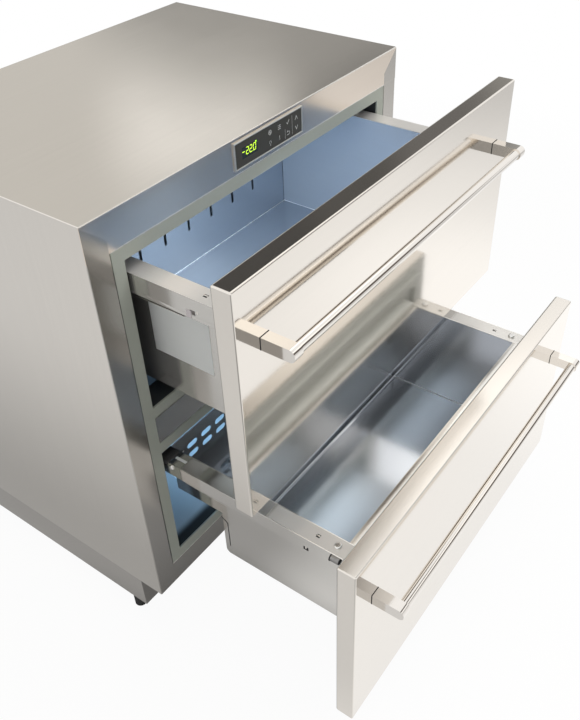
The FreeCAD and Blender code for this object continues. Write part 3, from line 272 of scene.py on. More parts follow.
@dataclass(frozen=True)
class BrushedSteel(Finish):
    """Stainless sheet with a grain in one direction and faint smears."""

    grain: Axis = Axis.X
    contrast: float = 0.10
    relief: float = FINE_RELIEF
    smear: float = 0.08
    metal: float = 1.0
    smear_cells: float = 7.0
    fine_gloss: float = 0.06

    def streaks(self, graph: Graph, vector: Wire, grain: Axis) -> tuple[Wire, Wire]:
        """Fine and broad streaks along a grain.

        Args:
            graph: Where the nodes go.
            vector: Object coordinates.
            grain: Direction of the grain.

        Returns:
            The fine and the broad streaks, each between 0 and 1.
        """
        fine, broad = (
            graph.stretched(vector, tuple(cells[0] if along else cells[1] for along in grain.value))
            for cells in (FINE_GRAIN, BROAD_GRAIN)
        )
        return graph.noise(fine, 1.0, 3.0, 0.6), graph.noise(broad, 1.0)

    def sockets(self, graph: Graph) -> Sockets:
        """Streaked colour, roughness and relief.

        Args:
            graph: Where the nodes go.

        Returns:
            The shader's sockets.
        """
        vector = graph.place()
        fine, broad = self.streaks(graph, vector, self.grain)
        smears = graph.noise(vector, self.smear_cells, 3.0, 0.55)
        tone = 1.0 - 0.5 * self.contrast + self.contrast * (0.6 * fine + 0.4 * broad)
        rough = self.roughness + self.smear * (smears - 0.5) + self.fine_gloss * (fine - 0.5)
        return {
            "Base Color": graph.shaded(self.colour, tone),
            "Metallic": self.metal,
            "Roughness": rough,
            "Normal": graph.bump(fine, self.relief),
        }


@dataclass(frozen=True)
class FrameSteel(BrushedSteel):
    """Front frame: upright grain on the stiles, level grain on the rails."""

    stile_edge: float = 337.0
    joint: float = 0.2

    def streaks(self, graph: Graph, vector: Wire, grain: Axis) -> tuple[Wire, Wire]:
        """Streaks that turn at the joint of stile and rail.

        Args:
            graph: Where the nodes go.
            vector: Object coordinates.
            grain: Not used, because both directions show.

        Returns:
            The fine and the broad streaks, each between 0 and 1.
        """
        across, _, _ = graph.parts(vector)
        stile = abs(across).past(self.stile_edge, self.joint)
        level = super().streaks(graph, vector, Axis.X)
        upright = super().streaks(graph, vector, Axis.Z)
        fine, broad = (a * (1.0 - stile) + b * stile for a, b in zip(level, upright))
        return fine, broad


@dataclass(frozen=True)
class DrawerSteel(BrushedSteel):
    """Drawer sheet: neutral outside, painted cool light and rear shade in the box, dull on the
    flange.
    """

    # inside: painted cool lamp light in the box
    inside: Colour = (0.50, 0.62, 0.80)
    half_width: float = 279.9
    low: float = 0.0
    rim: float = 0.0
    under: float = 1.0
    dull: float = 0.45
    dull_rough: float = 0.14
    dull_rear: float = 200.0
    dull_soft: float = 6.0
    lit: float = 0.0
    end: float = 598.0
    end_soft: float = 2.0
    rear_painted_shade: Colour = (0.40, 0.40, 0.41)

    def sockets(self, graph: Graph) -> Sockets:
        """Brushed steel with painted cool light inside the box and painted shade at its rear end.

        Args:
            graph: Where the nodes go.

        Returns:
            The shader's sockets.
        """
        made = super().sockets(graph)
        across, along, up = graph.axes()
        above = up.past(self.low, SHARP)
        flange = up.past(self.rim, SHARP)
        within = abs(across).past(self.half_width, -SHARP) * above * (1.0 - flange)
        flange = flange * along.past(self.dull_rear, -self.dull_soft)
        # painted cool lamp light inside the box, then painted shade at its rear end
        tint = graph.mix(within, self.colour, self.inside)
        tint = graph.mix(within * along.past(self.end, self.end_soft), tint, self.rear_painted_shade)
        streaks = graph.mix(1.0, made["Base Color"], self.colour, "DIVIDE")
        made["Base Color"] = graph.shaded(tint, streaks)
        metal = (self.under + (self.metal - self.under) * above) * (1.0 - self.dull * flange)
        made["Metallic"] = metal * (1.0 - self.lit * within)
        made["Roughness"] = made["Roughness"] + self.dull_rough * flange
        return made


@dataclass(frozen=True)
class FrontSteel(BrushedSteel):
    """Polished drawer front; the lower one's top edge is duller than its face."""

    top: float = 466.0
    edge_rough: float = 0.1

    def sockets(self, graph: Graph) -> Sockets:
        """Brushed steel, rougher within a millimetre of that edge.

        Args:
            graph: Where the nodes go.

        Returns:
            The shader's sockets.
        """
        made = super().sockets(graph)
        _, _, up = graph.axes()
        edge = up.past(self.top - 1.0, 0.4) * up.past(self.top + 1.5, -0.5)
        made["Roughness"] = made["Roughness"] + self.edge_rough * edge
        return made


@dataclass(frozen=True)
class RunnerSteel(BrushedSteel):
    """Runner with painted shade on its sides above a plain lower edge."""

    low: float = 0.0
    bare: float = 2.5
    # painted shade of the gap under the lip
    grease: Colour = (0.035, 0.033, 0.03)

    def sockets(self, graph: Graph) -> Sockets:
        """Brushed steel with painted shade above its lower edge."""
        gap_shade_share = graph.axes()[2].past(self.low + self.bare, SHARP)
        return graph.tinted(super().sockets(graph), gap_shade_share, self.grease)


@dataclass(frozen=True)
class ZincSteel(Finish):
    """Galvanised sheet with a soft spangle."""

    spangle: float = 90.0
    grit: float = 900.0

    def sockets(self, graph: Graph) -> Sockets:
        """Cells of slightly different brightness and gloss.

        Args:
            graph: Where the nodes go.

        Returns:
            The shader's sockets.
        """
        vector = graph.place()
        cell, _, _ = graph.parts(graph.cells(vector, self.spangle, "Color"))
        fine = graph.noise(vector, self.grit)
        return {
            "Base Color": graph.shaded(self.colour, 0.88 + 0.16 * cell + 0.06 * fine),
            "Metallic": 1.0,
            "Roughness": self.roughness + 0.14 * (cell - 0.5),
            "Normal": graph.bump(fine, FINE_RELIEF),
        }


@dataclass(frozen=True)
class Moulded(Finish):
    """Moulded plastic, rubber or paint: fine texture and faint mottling."""

    grit: float = 1600.0
    relief: float = 0.00002
    mottle: float = 0.08
    coat: float = 0.0
    gloss: float = 0.5
    clouds: float = 9.0

    def sockets(self, graph: Graph) -> Sockets:
        """Mottled colour, uneven gloss and a fine bump.

        Args:
            graph: Where the nodes go.

        Returns:
            The shader's sockets.
        """
        vector = graph.place()
        grit = graph.noise(vector, self.grit, 3.0, 0.6)
        cloud = graph.noise(vector, self.clouds, 3.0, 0.6)
        tone = 1.0 - 0.5 * self.mottle + self.mottle * (0.7 * cloud + 0.3 * grit)
        return {
            "Base Color": graph.shaded(self.colour, tone),
            "Roughness": self.roughness + 0.12 * (cloud - 0.5) + 0.05 * (grit - 0.5),
            "Coat Weight": self.coat,
            "Specular IOR Level": self.gloss,
            "Normal": graph.bump(grit, self.relief),
        }


@dataclass(frozen=True)
class BayLiner(Moulded):
    """Liner sheet with painted shade in the upper bay, at the rear and along the lower bay's sill.
    """

    # colour of the painted shade
    dark: Colour = (0.03, 0.033, 0.036)
    split: float = 468.0
    sill: float = -10.5
    sill_soft: float = 9.5
    rear: float = 190.0
    rear_soft: float = 10.0

    def sockets(self, graph: Graph) -> Sockets:
        """Moulded sheet with painted shade above the middle rail, at the rear and along the sill.

        Args:
            graph: Where the nodes go.

        Returns:
            The shader's sockets.
        """
        _, along, up = graph.axes()
        share = up.past(self.split, SOFT).most(along.past(self.sill, -self.sill_soft))
        share = share.most(along.past(self.rear, self.rear_soft))
        return graph.tinted(super().sockets(graph), share, self.dark)


@dataclass(frozen=True)
class StripPlastic(Moulded):
    """Breaker strip: cool and dark in the shade under the middle rail."""

    shade: Colour = (0.055, 0.10, 0.16)
    low: float = 400.0
    high: float = 442.0
    half_width: float = 315.5

    def sockets(self, graph: Graph) -> Sockets:
        """Moulded strip with a cool stretch between the openings.

        Args:
            graph: Where the nodes go.

        Returns:
            The shader's sockets.
        """
        across, _, up = graph.axes()
        share = up.past(self.low, SOFT) * up.past(self.high, -SOFT)
        share = share * abs(across).past(self.half_width, -SOFT)
        return graph.tinted(super().sockets(graph), share, self.shade)


@dataclass(frozen=True)
class WornMetal(Finish):
    """Drawn or cast metal with dull patches: tube, fins, fittings."""

    patina: Colour = (0.4, 0.4, 0.4)
    patches: float = 45.0
    grit: float = 1200.0

    def sockets(self, graph: Graph) -> Sockets:
        """Patches of patina with their own gloss.

        Args:
            graph: Where the nodes go.

        Returns:
            The shader's sockets.
        """
        vector = graph.place()
        patch = graph.noise(vector, self.patches, 4.0, 0.6).rise(0.42, 0.68)
        fine = graph.noise(vector, self.grit)
        return {
            "Base Color": graph.mix(patch * 0.6, self.colour, self.patina),
            "Metallic": 1.0,
            "Roughness": self.roughness + 0.16 * patch + 0.06 * (fine - 0.5),
            "Normal": graph.bump(fine, FINE_RELIEF),
        }


@dataclass(frozen=True)
class CellFoam(Finish):
    """Rigid insulation foam with open cells of about 2 mm."""

    pores: float = 500.0
    clouds: float = 30.0
    depth: float = 0.0004

    def sockets(self, graph: Graph) -> Sockets:
        """Cells with dark rims.

        Args:
            graph: Where the nodes go.

        Returns:
            The shader's sockets.
        """
        vector = graph.place()
        cell = graph.cells(vector, self.pores, "Distance")
        cloud = graph.noise(vector, self.clouds, 3.0)
        return {
            "Base Color": graph.shaded(self.colour, 0.72 + 0.2 * cell + 0.2 * cloud),
            "Roughness": self.roughness,
            "Normal": graph.bump(cell, self.depth),
        }


@dataclass(frozen=True)
class Glow(Finish):
    """Lit plastic or lit segments."""

    strength: float = 1.0
    clouds: float = 60.0

    def sockets(self, graph: Graph) -> Sockets:
        """A diffuser with slightly uneven light.

        Args:
            graph: Where the nodes go.

        Returns:
            The shader's sockets.
        """
        cloud = graph.noise(graph.place(), self.clouds)
        lit = graph.shaded(self.colour, 0.86 + 0.28 * cloud)
        return {
            "Base Color": lit,
            "Roughness": self.roughness,
            "Emission Color": lit,
            "Emission Strength": self.strength,
        }


STEEL = (0.86, 0.82, 0.765)
BOX_STEEL = (0.70, 0.68, 0.645)
RUNNER = (0.72, 0.70, 0.66)
STEEL_TOP = BrushedSteel("steel_top", STEEL, 0.14, Axis.X)
STEEL_SIDE = BrushedSteel("steel_side", STEEL, 0.20, Axis.Z)
STEEL_FRAME = FrameSteel("steel_frame", (0.58, 0.555, 0.52), 0.24, Axis.Z, 0.05, 0.000004, 0.05)
STEEL_FASCIA = BrushedSteel("steel_fascia", (0.90, 0.80, 0.70), 0.20, Axis.X)
STEEL_PLINTH = BrushedSteel("steel_plinth", (0.70, 0.67, 0.63), 0.22, Axis.X)
STEEL_FRONT = FrontSteel(
    "steel_front", (0.85, 0.805, 0.745), 0.078, Axis.X, 0.05, 0.000003, 0.02
)
STEEL_HANDLE = BrushedSteel(
    "steel_handle", (0.88, 0.84, 0.79), 0.09, Axis.X, 0.06, 0.000002, 0.03
)
# Each inside colour paints the cool lamp light in the box; LOWER_BOX's end paints shade on its rear
# end.
UPPER_SIDES = DrawerSteel(
    "steel_upper_sides", BOX_STEEL, 0.16, Axis.Y, 0.06, 0.0000015, 0.05, 0.8,
    inside=(0.62, 0.69, 0.78), low=540.6, rim=757.2, lit=0.4,
)
UPPER_BOX = DrawerSteel(
    "steel_upper_box", BOX_STEEL, 0.20, Axis.X, 0.06, 0.0000015, 0.05, 0.7,
    inside=(0.50, 0.565, 0.645), low=540.6, rim=757.2, under=0.3,
)
LOWER_SIDES = DrawerSteel(
    "steel_lower_sides", (0.75, 0.727, 0.69), 0.10, Axis.Y, 0.05, 0.000001, 0.02, 0.95,
    inside=(0.56, 0.575, 0.60), low=196.6, rim=397.2, dull_rear=-240.0,
)
LOWER_BOX = DrawerSteel(
    "steel_lower_box", BOX_STEEL, 0.15, Axis.X, 0.05, 0.000001, 0.02, 0.95,
    inside=(0.68, 0.70, 0.73), low=196.6, rim=397.2, end=-42.0,
)
UPPER_RUNNER = RunnerSteel("steel_upper_runner", RUNNER, 0.3, Axis.Y, low=722.8)
LOWER_RUNNER = RunnerSteel("steel_lower_runner", RUNNER, 0.3, Axis.Y, low=369.0)
# Lighter steel that paints highlight lines on hems, rims, edges, rods and tabs.
PAINTED_HIGHLIGHT_STEEL = BrushedSteel("steel_painted_highlight", (0.90, 0.87, 0.82), 0.22, Axis.X, 0.04)
ZINC = ZincSteel("zinc_sheet", (0.62, 0.63, 0.64), 0.34)
RUNNER_ZINC = ZincSteel("zinc_runner", (0.60, 0.60, 0.60), 0.26, 160.0)
ALUMINIUM = WornMetal("fin_aluminium", (0.80, 0.81, 0.82), 0.30, (0.58, 0.60, 0.62))
COPPER = WornMetal("copper_tube", (0.86, 0.46, 0.32), 0.24, (0.42, 0.20, 0.13))
CHROME = WornMetal("chrome", (0.88, 0.87, 0.85), 0.08, (0.7, 0.69, 0.67))
CLIP = WornMetal("clip_steel", (0.34, 0.33, 0.32), 0.12, (0.2, 0.195, 0.19))
LINER = BayLiner("liner_sheet", (0.50, 0.57, 0.64), 0.34)
# Darkened to paint the shade seen through the drawers' slots.
COVER_PAINTED_SHADE = Moulded("cover_painted_shade", (0.10, 0.115, 0.13), 0.4)
# Inner panels: the upper one darkened as painted shade, the lower one lightened as painted light.
UPPER_INNER_PAINTED_SHADE = Moulded("upper_inner_panel", (0.40, 0.38, 0.34), 0.35)
LOWER_INNER_PAINTED_LIGHT = Moulded("lower_inner_panel", (0.60, 0.62, 0.60), 0.35)
GASKET = Moulded("gasket_rubber", (0.60, 0.62, 0.60), 0.5)
PANEL = Moulded("panel_face", (0.066, 0.063, 0.055), 0.35, 2400.0, 0.000008, 0.06, gloss=0.25)
ICONS = Moulded("printed_icons", (0.72, 0.72, 0.68), 0.5)
COMPRESSOR = Moulded("compressor_paint", (0.014, 0.014, 0.015), 0.32, 500.0, 0.00006, 0.3, 0.3)
PLATE = Moulded("bare_plate", (0.72, 0.735, 0.72), 0.42, 900.0, 0.000006, 0.05)
# Painted shade in grooves, holes, slits, corners and joints.
PAINTED_GAP_SHADE = Moulded("dark_gap", (0.012, 0.012, 0.013), 0.7)
# Painted highlight of the bends where the box's floor meets its walls.
PAINTED_BEND_HIGHLIGHT = Moulded("painted_bend_highlight", (0.90, 0.92, 0.94), 0.4)
WHITE_PLASTIC = Moulded("white_plastic", (0.66, 0.61, 0.62), 0.4)
LAMP = Glow("lamp_diffuser", (0.82, 0.91, 1.0), 0.4, 1.6)
DIGITS = Glow("lit_digits", (0.62, 0.95, 0.05), 0.4, 1.1)

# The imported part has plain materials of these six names, so those are found and these aren't made.
STRIP = StripPlastic("strip_plastic", (0.128, 0.136, 0.128), 0.5)
FOAM = CellFoam("foam", (0.86, 0.74, 0.48), 0.9)
BEZEL = BrushedSteel("bezel_metal", (0.70, 0.68, 0.64), 0.24, Axis.X)
GLASS = Moulded("display_glass", (0.008, 0.010, 0.008), 0.10, 800.0, 0.000001, 0.2, 0.6)
BLACK = Moulded("black_plastic", (0.018, 0.018, 0.019), 0.46)
MOUNT_RUBBER = Moulded("mount_rubber", (0.022, 0.022, 0.022), 0.7)


# ---------------------------------------------------------------- mesh bench


@dataclass(frozen=True)
class Fitting:
    """Sizes of a block that stands on both sides.

    Its span is measured from the middle plane, and its low and high y and z from where it is put.
    """

    span: Flat
    low: Flat
    high: Flat
    bevel: float = 0.0


@dataclass(frozen=True)
class Rod:
    """Sizes of a round piece; its offset is measured along its axis from where it is put."""

    offset: float
    radius: float
    length: float
    bevel: float


class Bench:
    """A bmesh under way; lengths are in millimetres until it is finished."""

    def __init__(self) -> None:
        """Starts with an empty mesh."""
        self.mesh = bmesh.new()

    def _place(self, made: dict[str, Any], matrix: Matrix) -> list[bmesh.types.BMVert]:
        """Moves newly made vertices and returns them."""
        bmesh.ops.transform(self.mesh, matrix=matrix, verts=made["verts"])
        return made["verts"]

    def _stand(self, centre: Point, axis: Axis) -> Matrix:
        """Takes the z axis to an axis through a point."""
        turn = Vector(Axis.Z.value).rotation_difference(Vector(axis.value))
        return Matrix.Translation(centre) @ turn.to_matrix().to_4x4()

    def _edges(self, verts: Iterable[bmesh.types.BMVert]) -> list[bmesh.types.BMEdge]:
        """Edges at these vertices."""
        return list({edge for vert in verts for edge in vert.link_edges})

    def _bevel(self, edges: Sequence[bmesh.types.BMEdge], width: float) -> None:
        """Rounds edges.

        Args:
            edges: The edges.
            width: Radius of the rounding.
        """
        bmesh.ops.bevel(
            self.mesh, geom=list(edges), offset=width, segments=BEVEL_STEPS,
            profile=0.5, affect="EDGES", material=-1, clamp_overlap=True,
        )

    def block(self, low: Point, high: Point, bevel: float = 0.0) -> None:
        """Adds a block.

        Args:
            low: Lowest corner.
            high: Highest corner.
            bevel: Radius of its edges.
        """
        size = Vector(high) - Vector(low)
        middle = (Vector(high) + Vector(low)) / 2
        matrix = Matrix.Translation(middle) @ Matrix.Diagonal((*size, 1.0))
        verts = self._place(bmesh.ops.create_cube(self.mesh, size=1.0), matrix)
        if bevel:
            self._bevel(self._edges(verts), bevel)

    def pair(self, fitting: Fitting, along: float = 0.0, up: float = 0.0) -> None:
        """Adds a block on the left and its mirror image on the right.

        Args:
            fitting: Its sizes.
            along: Where its y is measured from.
            up: Where its z is measured from.
        """
        (y0, z0), (y1, z1) = fitting.low, fitting.high
        for side in SIDES:
            left, right = sorted(side * across for across in fitting.span)
            low, high = (left, along + y0, up + z0), (right, along + y1, up + z1)
            self.block(low, high, fitting.bevel)

    def disc(
        self, centre: Point, axis: Axis, radius: float, depth: float,
        sides: int = ROUND_SIDES, bevel: float = 0.0,
    ) -> None:
        """Adds a round plate or rod.

        Args:
            centre: Its middle.
            axis: Its axis.
            radius: Its radius.
            depth: Its length along the axis.
            sides: Sides of the circle.
            bevel: Radius of its rims.
        """
        made = bmesh.ops.create_cone(
            self.mesh, cap_ends=True, segments=sides, radius1=radius, radius2=radius, depth=depth
        )
        verts = self._place(made, self._stand(centre, axis))
        if bevel:
            rims = [e for e in self._edges(verts) if any(len(f.verts) > 4 for f in e.link_faces)]
            self._bevel(rims, bevel)

    def turned(self, profile: Sequence[Flat], centre: Point, axis: Axis, steps: int) -> None:
        """Spins a profile of (radius, height) points round an axis.

        Args:
            profile: Points from one end to the other.
            centre: Origin of the heights.
            axis: Axis of the turning.
            steps: Steps of the full turn.
        """
        stand = self._stand(centre, axis)
        verts = [self.mesh.verts.new(stand @ Vector((r, 0.0, h))) for r, h in profile]
        edges = [self.mesh.edges.new(ends) for ends in zip(verts, verts[1:])]
        bmesh.ops.spin(
            self.mesh, geom=verts + edges, cent=centre, axis=axis.value,
            angle=math.tau, steps=steps, use_merge=True, use_duplicate=False,
        )
        bmesh.ops.remove_doubles(self.mesh, verts=self.mesh.verts[:], dist=0.0005)

    def screw(self, centre: Point, axis: Axis, radius: float, height: float, sign: int) -> None:
        """Adds a pan-head screw.

        Args:
            centre: Middle of its seat.
            axis: Its axis.
            radius: Radius of the head.
            height: Height of the head.
            sign: -1 where the head points against the axis, or else 1.
        """
        shares = ((0.0, 0.45), (0.38, 0.45), (0.44, 0.97), (0.70, 0.88), (0.92, 0.55), (1.0, 0.0))
        profile = [(radius * r, height * h * sign) for r, h in shares]
        self.turned(profile, centre, axis, SCREW_STEPS)

    def plate(self, corners: Sequence[Point], rise: Point) -> None:
        """Adds a flat plate.

        Args:
            corners: Its outline, in order.
            rise: Its thickness, as a vector.
        """
        face = self.mesh.faces.new([self.mesh.verts.new(corner) for corner in corners])
        made = bmesh.ops.extrude_face_region(self.mesh, geom=[face], use_keep_orig=True)["geom"]
        verts = [g for g in made if isinstance(g, bmesh.types.BMVert)]
        bmesh.ops.translate(self.mesh, vec=rise, verts=verts)

    def stroke(
        self, start: Sequence[float], end: Sequence[float], width: float, depth: float
    ) -> None:
        """Adds a flat bar between two points of a plane that faces Y.

        Args:
            start: One end; its y is the bar's back.
            end: The other end.
            width: Width of the bar.
            depth: How far it stands out towards -Y.
        """
        run = Vector(end) - Vector(start)
        turn = Matrix.Rotation(-math.atan2(run.z, run.x), 4, "Y")
        middle = (Vector(start) + Vector(end)) / 2 - Vector((0, depth / 2, 0))
        size = Matrix.Diagonal((run.length + width / 2, depth, width, 1.0))
        cube = bmesh.ops.create_cube(self.mesh, size=1.0)
        self._place(cube, Matrix.Translation(middle) @ turn @ size)

    def arc(
        self, centre: Point, radius: float, start: float, sweep: float, width: float, depth: float
    ) -> None:
        """Adds a flat arc in a plane that faces Y; angles in degrees from +X towards +Z.

        Args:
            centre: Its middle.
            radius: Its radius.
            start: Angle of its first end.
            sweep: Angle from end to end.
            width: Width of the line.
            depth: How far it stands out towards -Y.
        """
        steps = max(3, int(abs(sweep) / ARC_STEP))
        angles = [math.radians(start + sweep * i / steps) for i in range(steps + 1)]
        points = [Vector(centre) + radius * Vector((math.cos(a), 0, math.sin(a))) for a in angles]
        for one, two in zip(points, points[1:]):
            self.stroke(one, two, width, depth)

    def finish(
        self, name: str, finish: Finish, body: str, slot: Optional[str] = None,
        replaces: Sequence[str] = (), smooth: bool = True,
    ) -> None:
        """Makes the object, dresses it and ties it to its body.

        Args:
            name: Name of the piece.
            finish: Its finish.
            body: The body that it rides on.
            slot: Not used.
            replaces: CAD nodes that it stands for.
            smooth: Whether faces that meet at a low angle are shaded as one.
        """
        bmesh.ops.transform(self.mesh, matrix=Matrix.Scale(MM, 4), verts=self.mesh.verts[:])
        bmesh.ops.recalc_face_normals(self.mesh, faces=self.mesh.faces[:])
        data = bpy.data.meshes.new(name)
        self.mesh.to_mesh(data)
        self.mesh.free()
        data.materials.append(finish.material())
        made = bpy.data.objects.new(name, data)
        bpy.context.scene.collection.objects.link(made)
        if smooth:
            data.shade_smooth()
            data.set_sharp_from_angle(angle=CREASE)
        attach(made, body)
        if replaces:
            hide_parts(*replaces)
        LOG.info("piece %s on %s", name, body)


def dress(finish: Finish, *names: str) -> None:
    """Gives CAD nodes a finish.

    Args:
        finish: The finish.
        names: The nodes.
    """
    for name in names:
        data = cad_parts[name].data
        data.materials.clear()
        data.materials.append(finish.material())


# ---------------------------------------------------------------- sub-assemblies


@dataclass
class Shell:
    """Cabinet sheets, frame, strips, plinth and feet."""

    face: float = -38.0
    seam: Fitting = Fitting((335.55, 336.95), (0.5, 159.5), (1.2, 772.0))
    hems: Sequence[Point] = ((0.5, 158.8, 336.25), (0.5, 801.25, 336.25), (0.4, 856.95, 374.0))
    hem_radius: float = 0.95
    hem_sides: int = 16
    mitre: Sequence[Flat] = ((374.9, 802.2), (337.2, 802.2), (337.2, 822.0), (374.9, 856.0))
    mitre_depth: float = 0.12
    dots: int = 30
    dots_across: float = 337.15
    dots_low: float = 182.0
    dots_high: float = 330.0
    dot_radius: float = 1.15
    dot_depth: float = 0.3
    dot_sides: int = 10

    def dress(self) -> None:
        """Finishes of the sheets."""
        dress(STEEL_TOP, "top_panel")
        dress(STEEL_SIDE, "side_panels")
        dress(STEEL_FRAME, "front_frame")
        dress(STEEL_FASCIA, "top_fascia")
        dress(STEEL_PLINTH, "plinth")
        dress(STRIP, "breaker_strips")
        dress(ZINC, "rear_panel", "rear_grille", "base_pan", "foot_sockets")
        dress(FOAM, "foam_insulation")
        dress(LINER, "inner_liner")
        dress(LAMP, "interior_lamp")
        dress(RUNNER_ZINC, "fixed_runners")
        feet = {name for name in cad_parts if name.startswith("foot_")} - {"foot_sockets"}
        dress(MOUNT_RUBBER, *sorted(feet))

    def build(self) -> None:
        """Painted shade in the grooves and their rows of dots, bright hems that paint a highlight,
        and mitred stile ends.
        """
        dots, seams, hems, mitres = Bench(), Bench(), Bench(), Bench()
        for side in SIDES:
            for i in range(self.dots):
                up = self.dots_low + (self.dots_high - self.dots_low) * i / (self.dots - 1)
                place = (side * self.dots_across, self.face, up)
                dots.disc(place, Axis.Y, self.dot_radius, self.dot_depth, self.dot_sides)
            outline = [(side * across, self.face, up) for across, up in self.mitre]
            mitres.plate(outline, (0, -self.mitre_depth, 0))
        seams.pair(self.seam, self.face)
        for sunk, up, half in self.hems:
            place = (0, self.face + sunk, up)
            hems.disc(place, Axis.X, self.hem_radius, 2 * half, self.hem_sides)
        dots.finish("groove_dots", PAINTED_GAP_SHADE, "cabinet", "black_plastic")
        seams.finish("groove_seams", PAINTED_GAP_SHADE, "cabinet", "black_plastic", smooth=False)
        hems.finish("frame_hems", PAINTED_HIGHLIGHT_STEEL, "cabinet", "stainless")
        mitres.finish("stile_mitres", STEEL_FRAME, "cabinet", "stainless", smooth=False)


@dataclass
class ControlPanel:
    """Bezel, touch face, display and the printed keys.

    A bar is the x and z of both its ends and its width. A ring is the x and z of its middle, its
    radius, its first angle, its sweep and its width.
    """

    face: float = -40.0
    print_depth: float = 0.12
    digit_height: float = 10.4
    digit_width: float = 5.4
    digit_base: float = 826.2
    digit_lean: float = 0.06
    digit_line: float = 1.15
    digit_gap: float = 0.75
    digit_places: Sequence[tuple[float, str]] = (
        (-57.0, "abged"), (-49.0, "abged"), (-40.2, "abcdef"),
    )
    point: Flat = (-41.8, 0.7)
    point_sides: int = 12
    display_bars: Sequence[Sequence[float]] = ((-65.4, 832.0, -60.6, 832.0, 1.3),)
    display_rings: Sequence[Sequence[float]] = ((-33.6, 838.0, 0.8, 0, 360, 0.5),)
    star: Flat = (1.0, 838.0)
    star_radius: float = 3.0
    star_line: float = 0.6
    list_rows: Sequence[float] = (835.2, 838.0, 840.8)
    list_bars: Sequence[Flat] = ((21.4, 22.2), (23.8, 27.2))
    list_line: float = 1.1
    key_bars: Sequence[Sequence[float]] = (
        (43.2, 838.2, 45.2, 835.4, 0.9), (45.2, 835.4, 49.4, 841.4, 0.9),
        (0.2, 818.6, 1.8, 818.6, 0.7), (0.4, 817.4, 1.6, 817.4, 0.7),
        (24.0, 820.4, 24.0, 824.6, 0.8),
        (43.4, 818.2, 48.2, 818.2, 0.9), (47.6, 823.0, 43.6, 823.0, 0.9),
        (43.6, 823.0, 45.2, 824.6, 0.9),
        (65.2, 834.8, 68.2, 840.6, 0.9), (68.2, 840.6, 71.2, 834.8, 0.9),
        (65.2, 824.6, 68.2, 818.8, 0.9), (68.2, 818.8, 71.2, 824.6, 0.9),
        (57.0, 815.0, 57.0, 844.6, 0.35), (38.5, 814.0, 38.5, 829.0, 0.35),
    )
    key_rings: Sequence[Sequence[float]] = (
        (1.0, 838.0, 3.6, 0, 360, 0.6), (1.0, 822.4, 2.3, -60, 300, 0.6),
        (24.0, 819.0, 1.1, 0, 360, 0.9), (47.6, 820.6, 2.4, -90, 180, 0.9),
    )

    def dress(self) -> None:
        """Finishes of the panel's CAD nodes."""
        dress(BEZEL, "control_bezel")
        dress(PANEL, "touch_panel")
        dress(GLASS, "display_window")
        dress(BLACK, "controller_case")

    def prints(
        self, bench: Bench, bars: Iterable[Sequence[float]], rings: Iterable[Sequence[float]]
    ) -> None:
        """Prints bars and rings on the face.

        Args:
            bench: Where they go.
            bars: The bars.
            rings: The rings.
        """
        for x0, z0, x1, z1, width in bars:
            bench.stroke((x0, self.face, z0), (x1, self.face, z1), width, self.print_depth)
        for x, z, radius, start, sweep, width in rings:
            bench.arc((x, self.face, z), radius, start, sweep, width, self.print_depth)

    def digit(self, bench: Bench, left: float, lit: str) -> None:
        """Draws one seven-segment digit.

        Args:
            bench: Where it goes.
            left: Its left edge.
            lit: Letters of the lit segments, a to g.
        """
        w, h = self.digit_width, self.digit_height
        segments = {
            "a": ((0, h), (w, h)), "b": ((w, h), (w, h / 2)), "c": ((w, h / 2), (w, 0)),
            "d": ((0, 0), (w, 0)), "e": ((0, h / 2), (0, 0)), "f": ((0, h), (0, h / 2)),
            "g": ((0, h / 2), (w, h / 2)),
        }
        for key in lit:
            one, two = (
                Vector((left + x + self.digit_lean * z, self.face, self.digit_base + z))
                for x, z in segments[key]
            )
            gap = (two - one).normalized() * self.digit_gap
            bench.stroke(one + gap, two - gap, self.digit_line, self.print_depth)

    def build(self) -> None:
        """Lit reading, printed keys and their dividing lines."""
        digits, keys = Bench(), Bench()
        self.prints(digits, self.display_bars, self.display_rings)
        for left, lit in self.digit_places:
            self.digit(digits, left, lit)
        across, radius = self.point
        middle = (across, self.face - self.print_depth / 2, self.digit_base)
        digits.disc(middle, Axis.Y, radius, self.print_depth, self.point_sides)
        digits.finish("display_digits", DIGITS, "cabinet", "display_glass", smooth=False)

        bars = list(self.key_bars)
        for turn in range(3):
            x, z = (self.star_radius * way(turn * math.pi / 3) for way in (math.cos, math.sin))
            across, up = self.star
            bars.append((across - x, up - z, across + x, up + z, self.star_line))
        for up in self.list_rows:
            bars.extend((x0, up, x1, up, self.list_line) for x0, x1 in self.list_bars)
        self.prints(keys, bars, self.key_rings)
        keys.finish("touch_keys", ICONS, "cabinet", "panel_black", smooth=False)


@dataclass
class Machine:
    """Cold side, machine space and what shows of them from behind."""

    fans: Sequence[str] = ("evaporator_fan", "condenser_fan")

    def dress(self) -> None:
        """Finishes of coils, fans, compressor, pipes and electrics."""
        dress(COVER_PAINTED_SHADE, "evaporator_cover")
        dress(ALUMINIUM, "evaporator_coil", "condenser_coil")
        dress(BLACK, *self.fans, *(f"{fan}_motor" for fan in self.fans))
        dress(BLACK, "condensate_tray", "electrical_box", "mains_inlet")
        dress(COMPRESSOR, "compressor")
        dress(MOUNT_RUBBER, "compressor_grommets")
        dress(ZINC, "compressor_tray")
        dress(COPPER, "refrigerant_pipes")


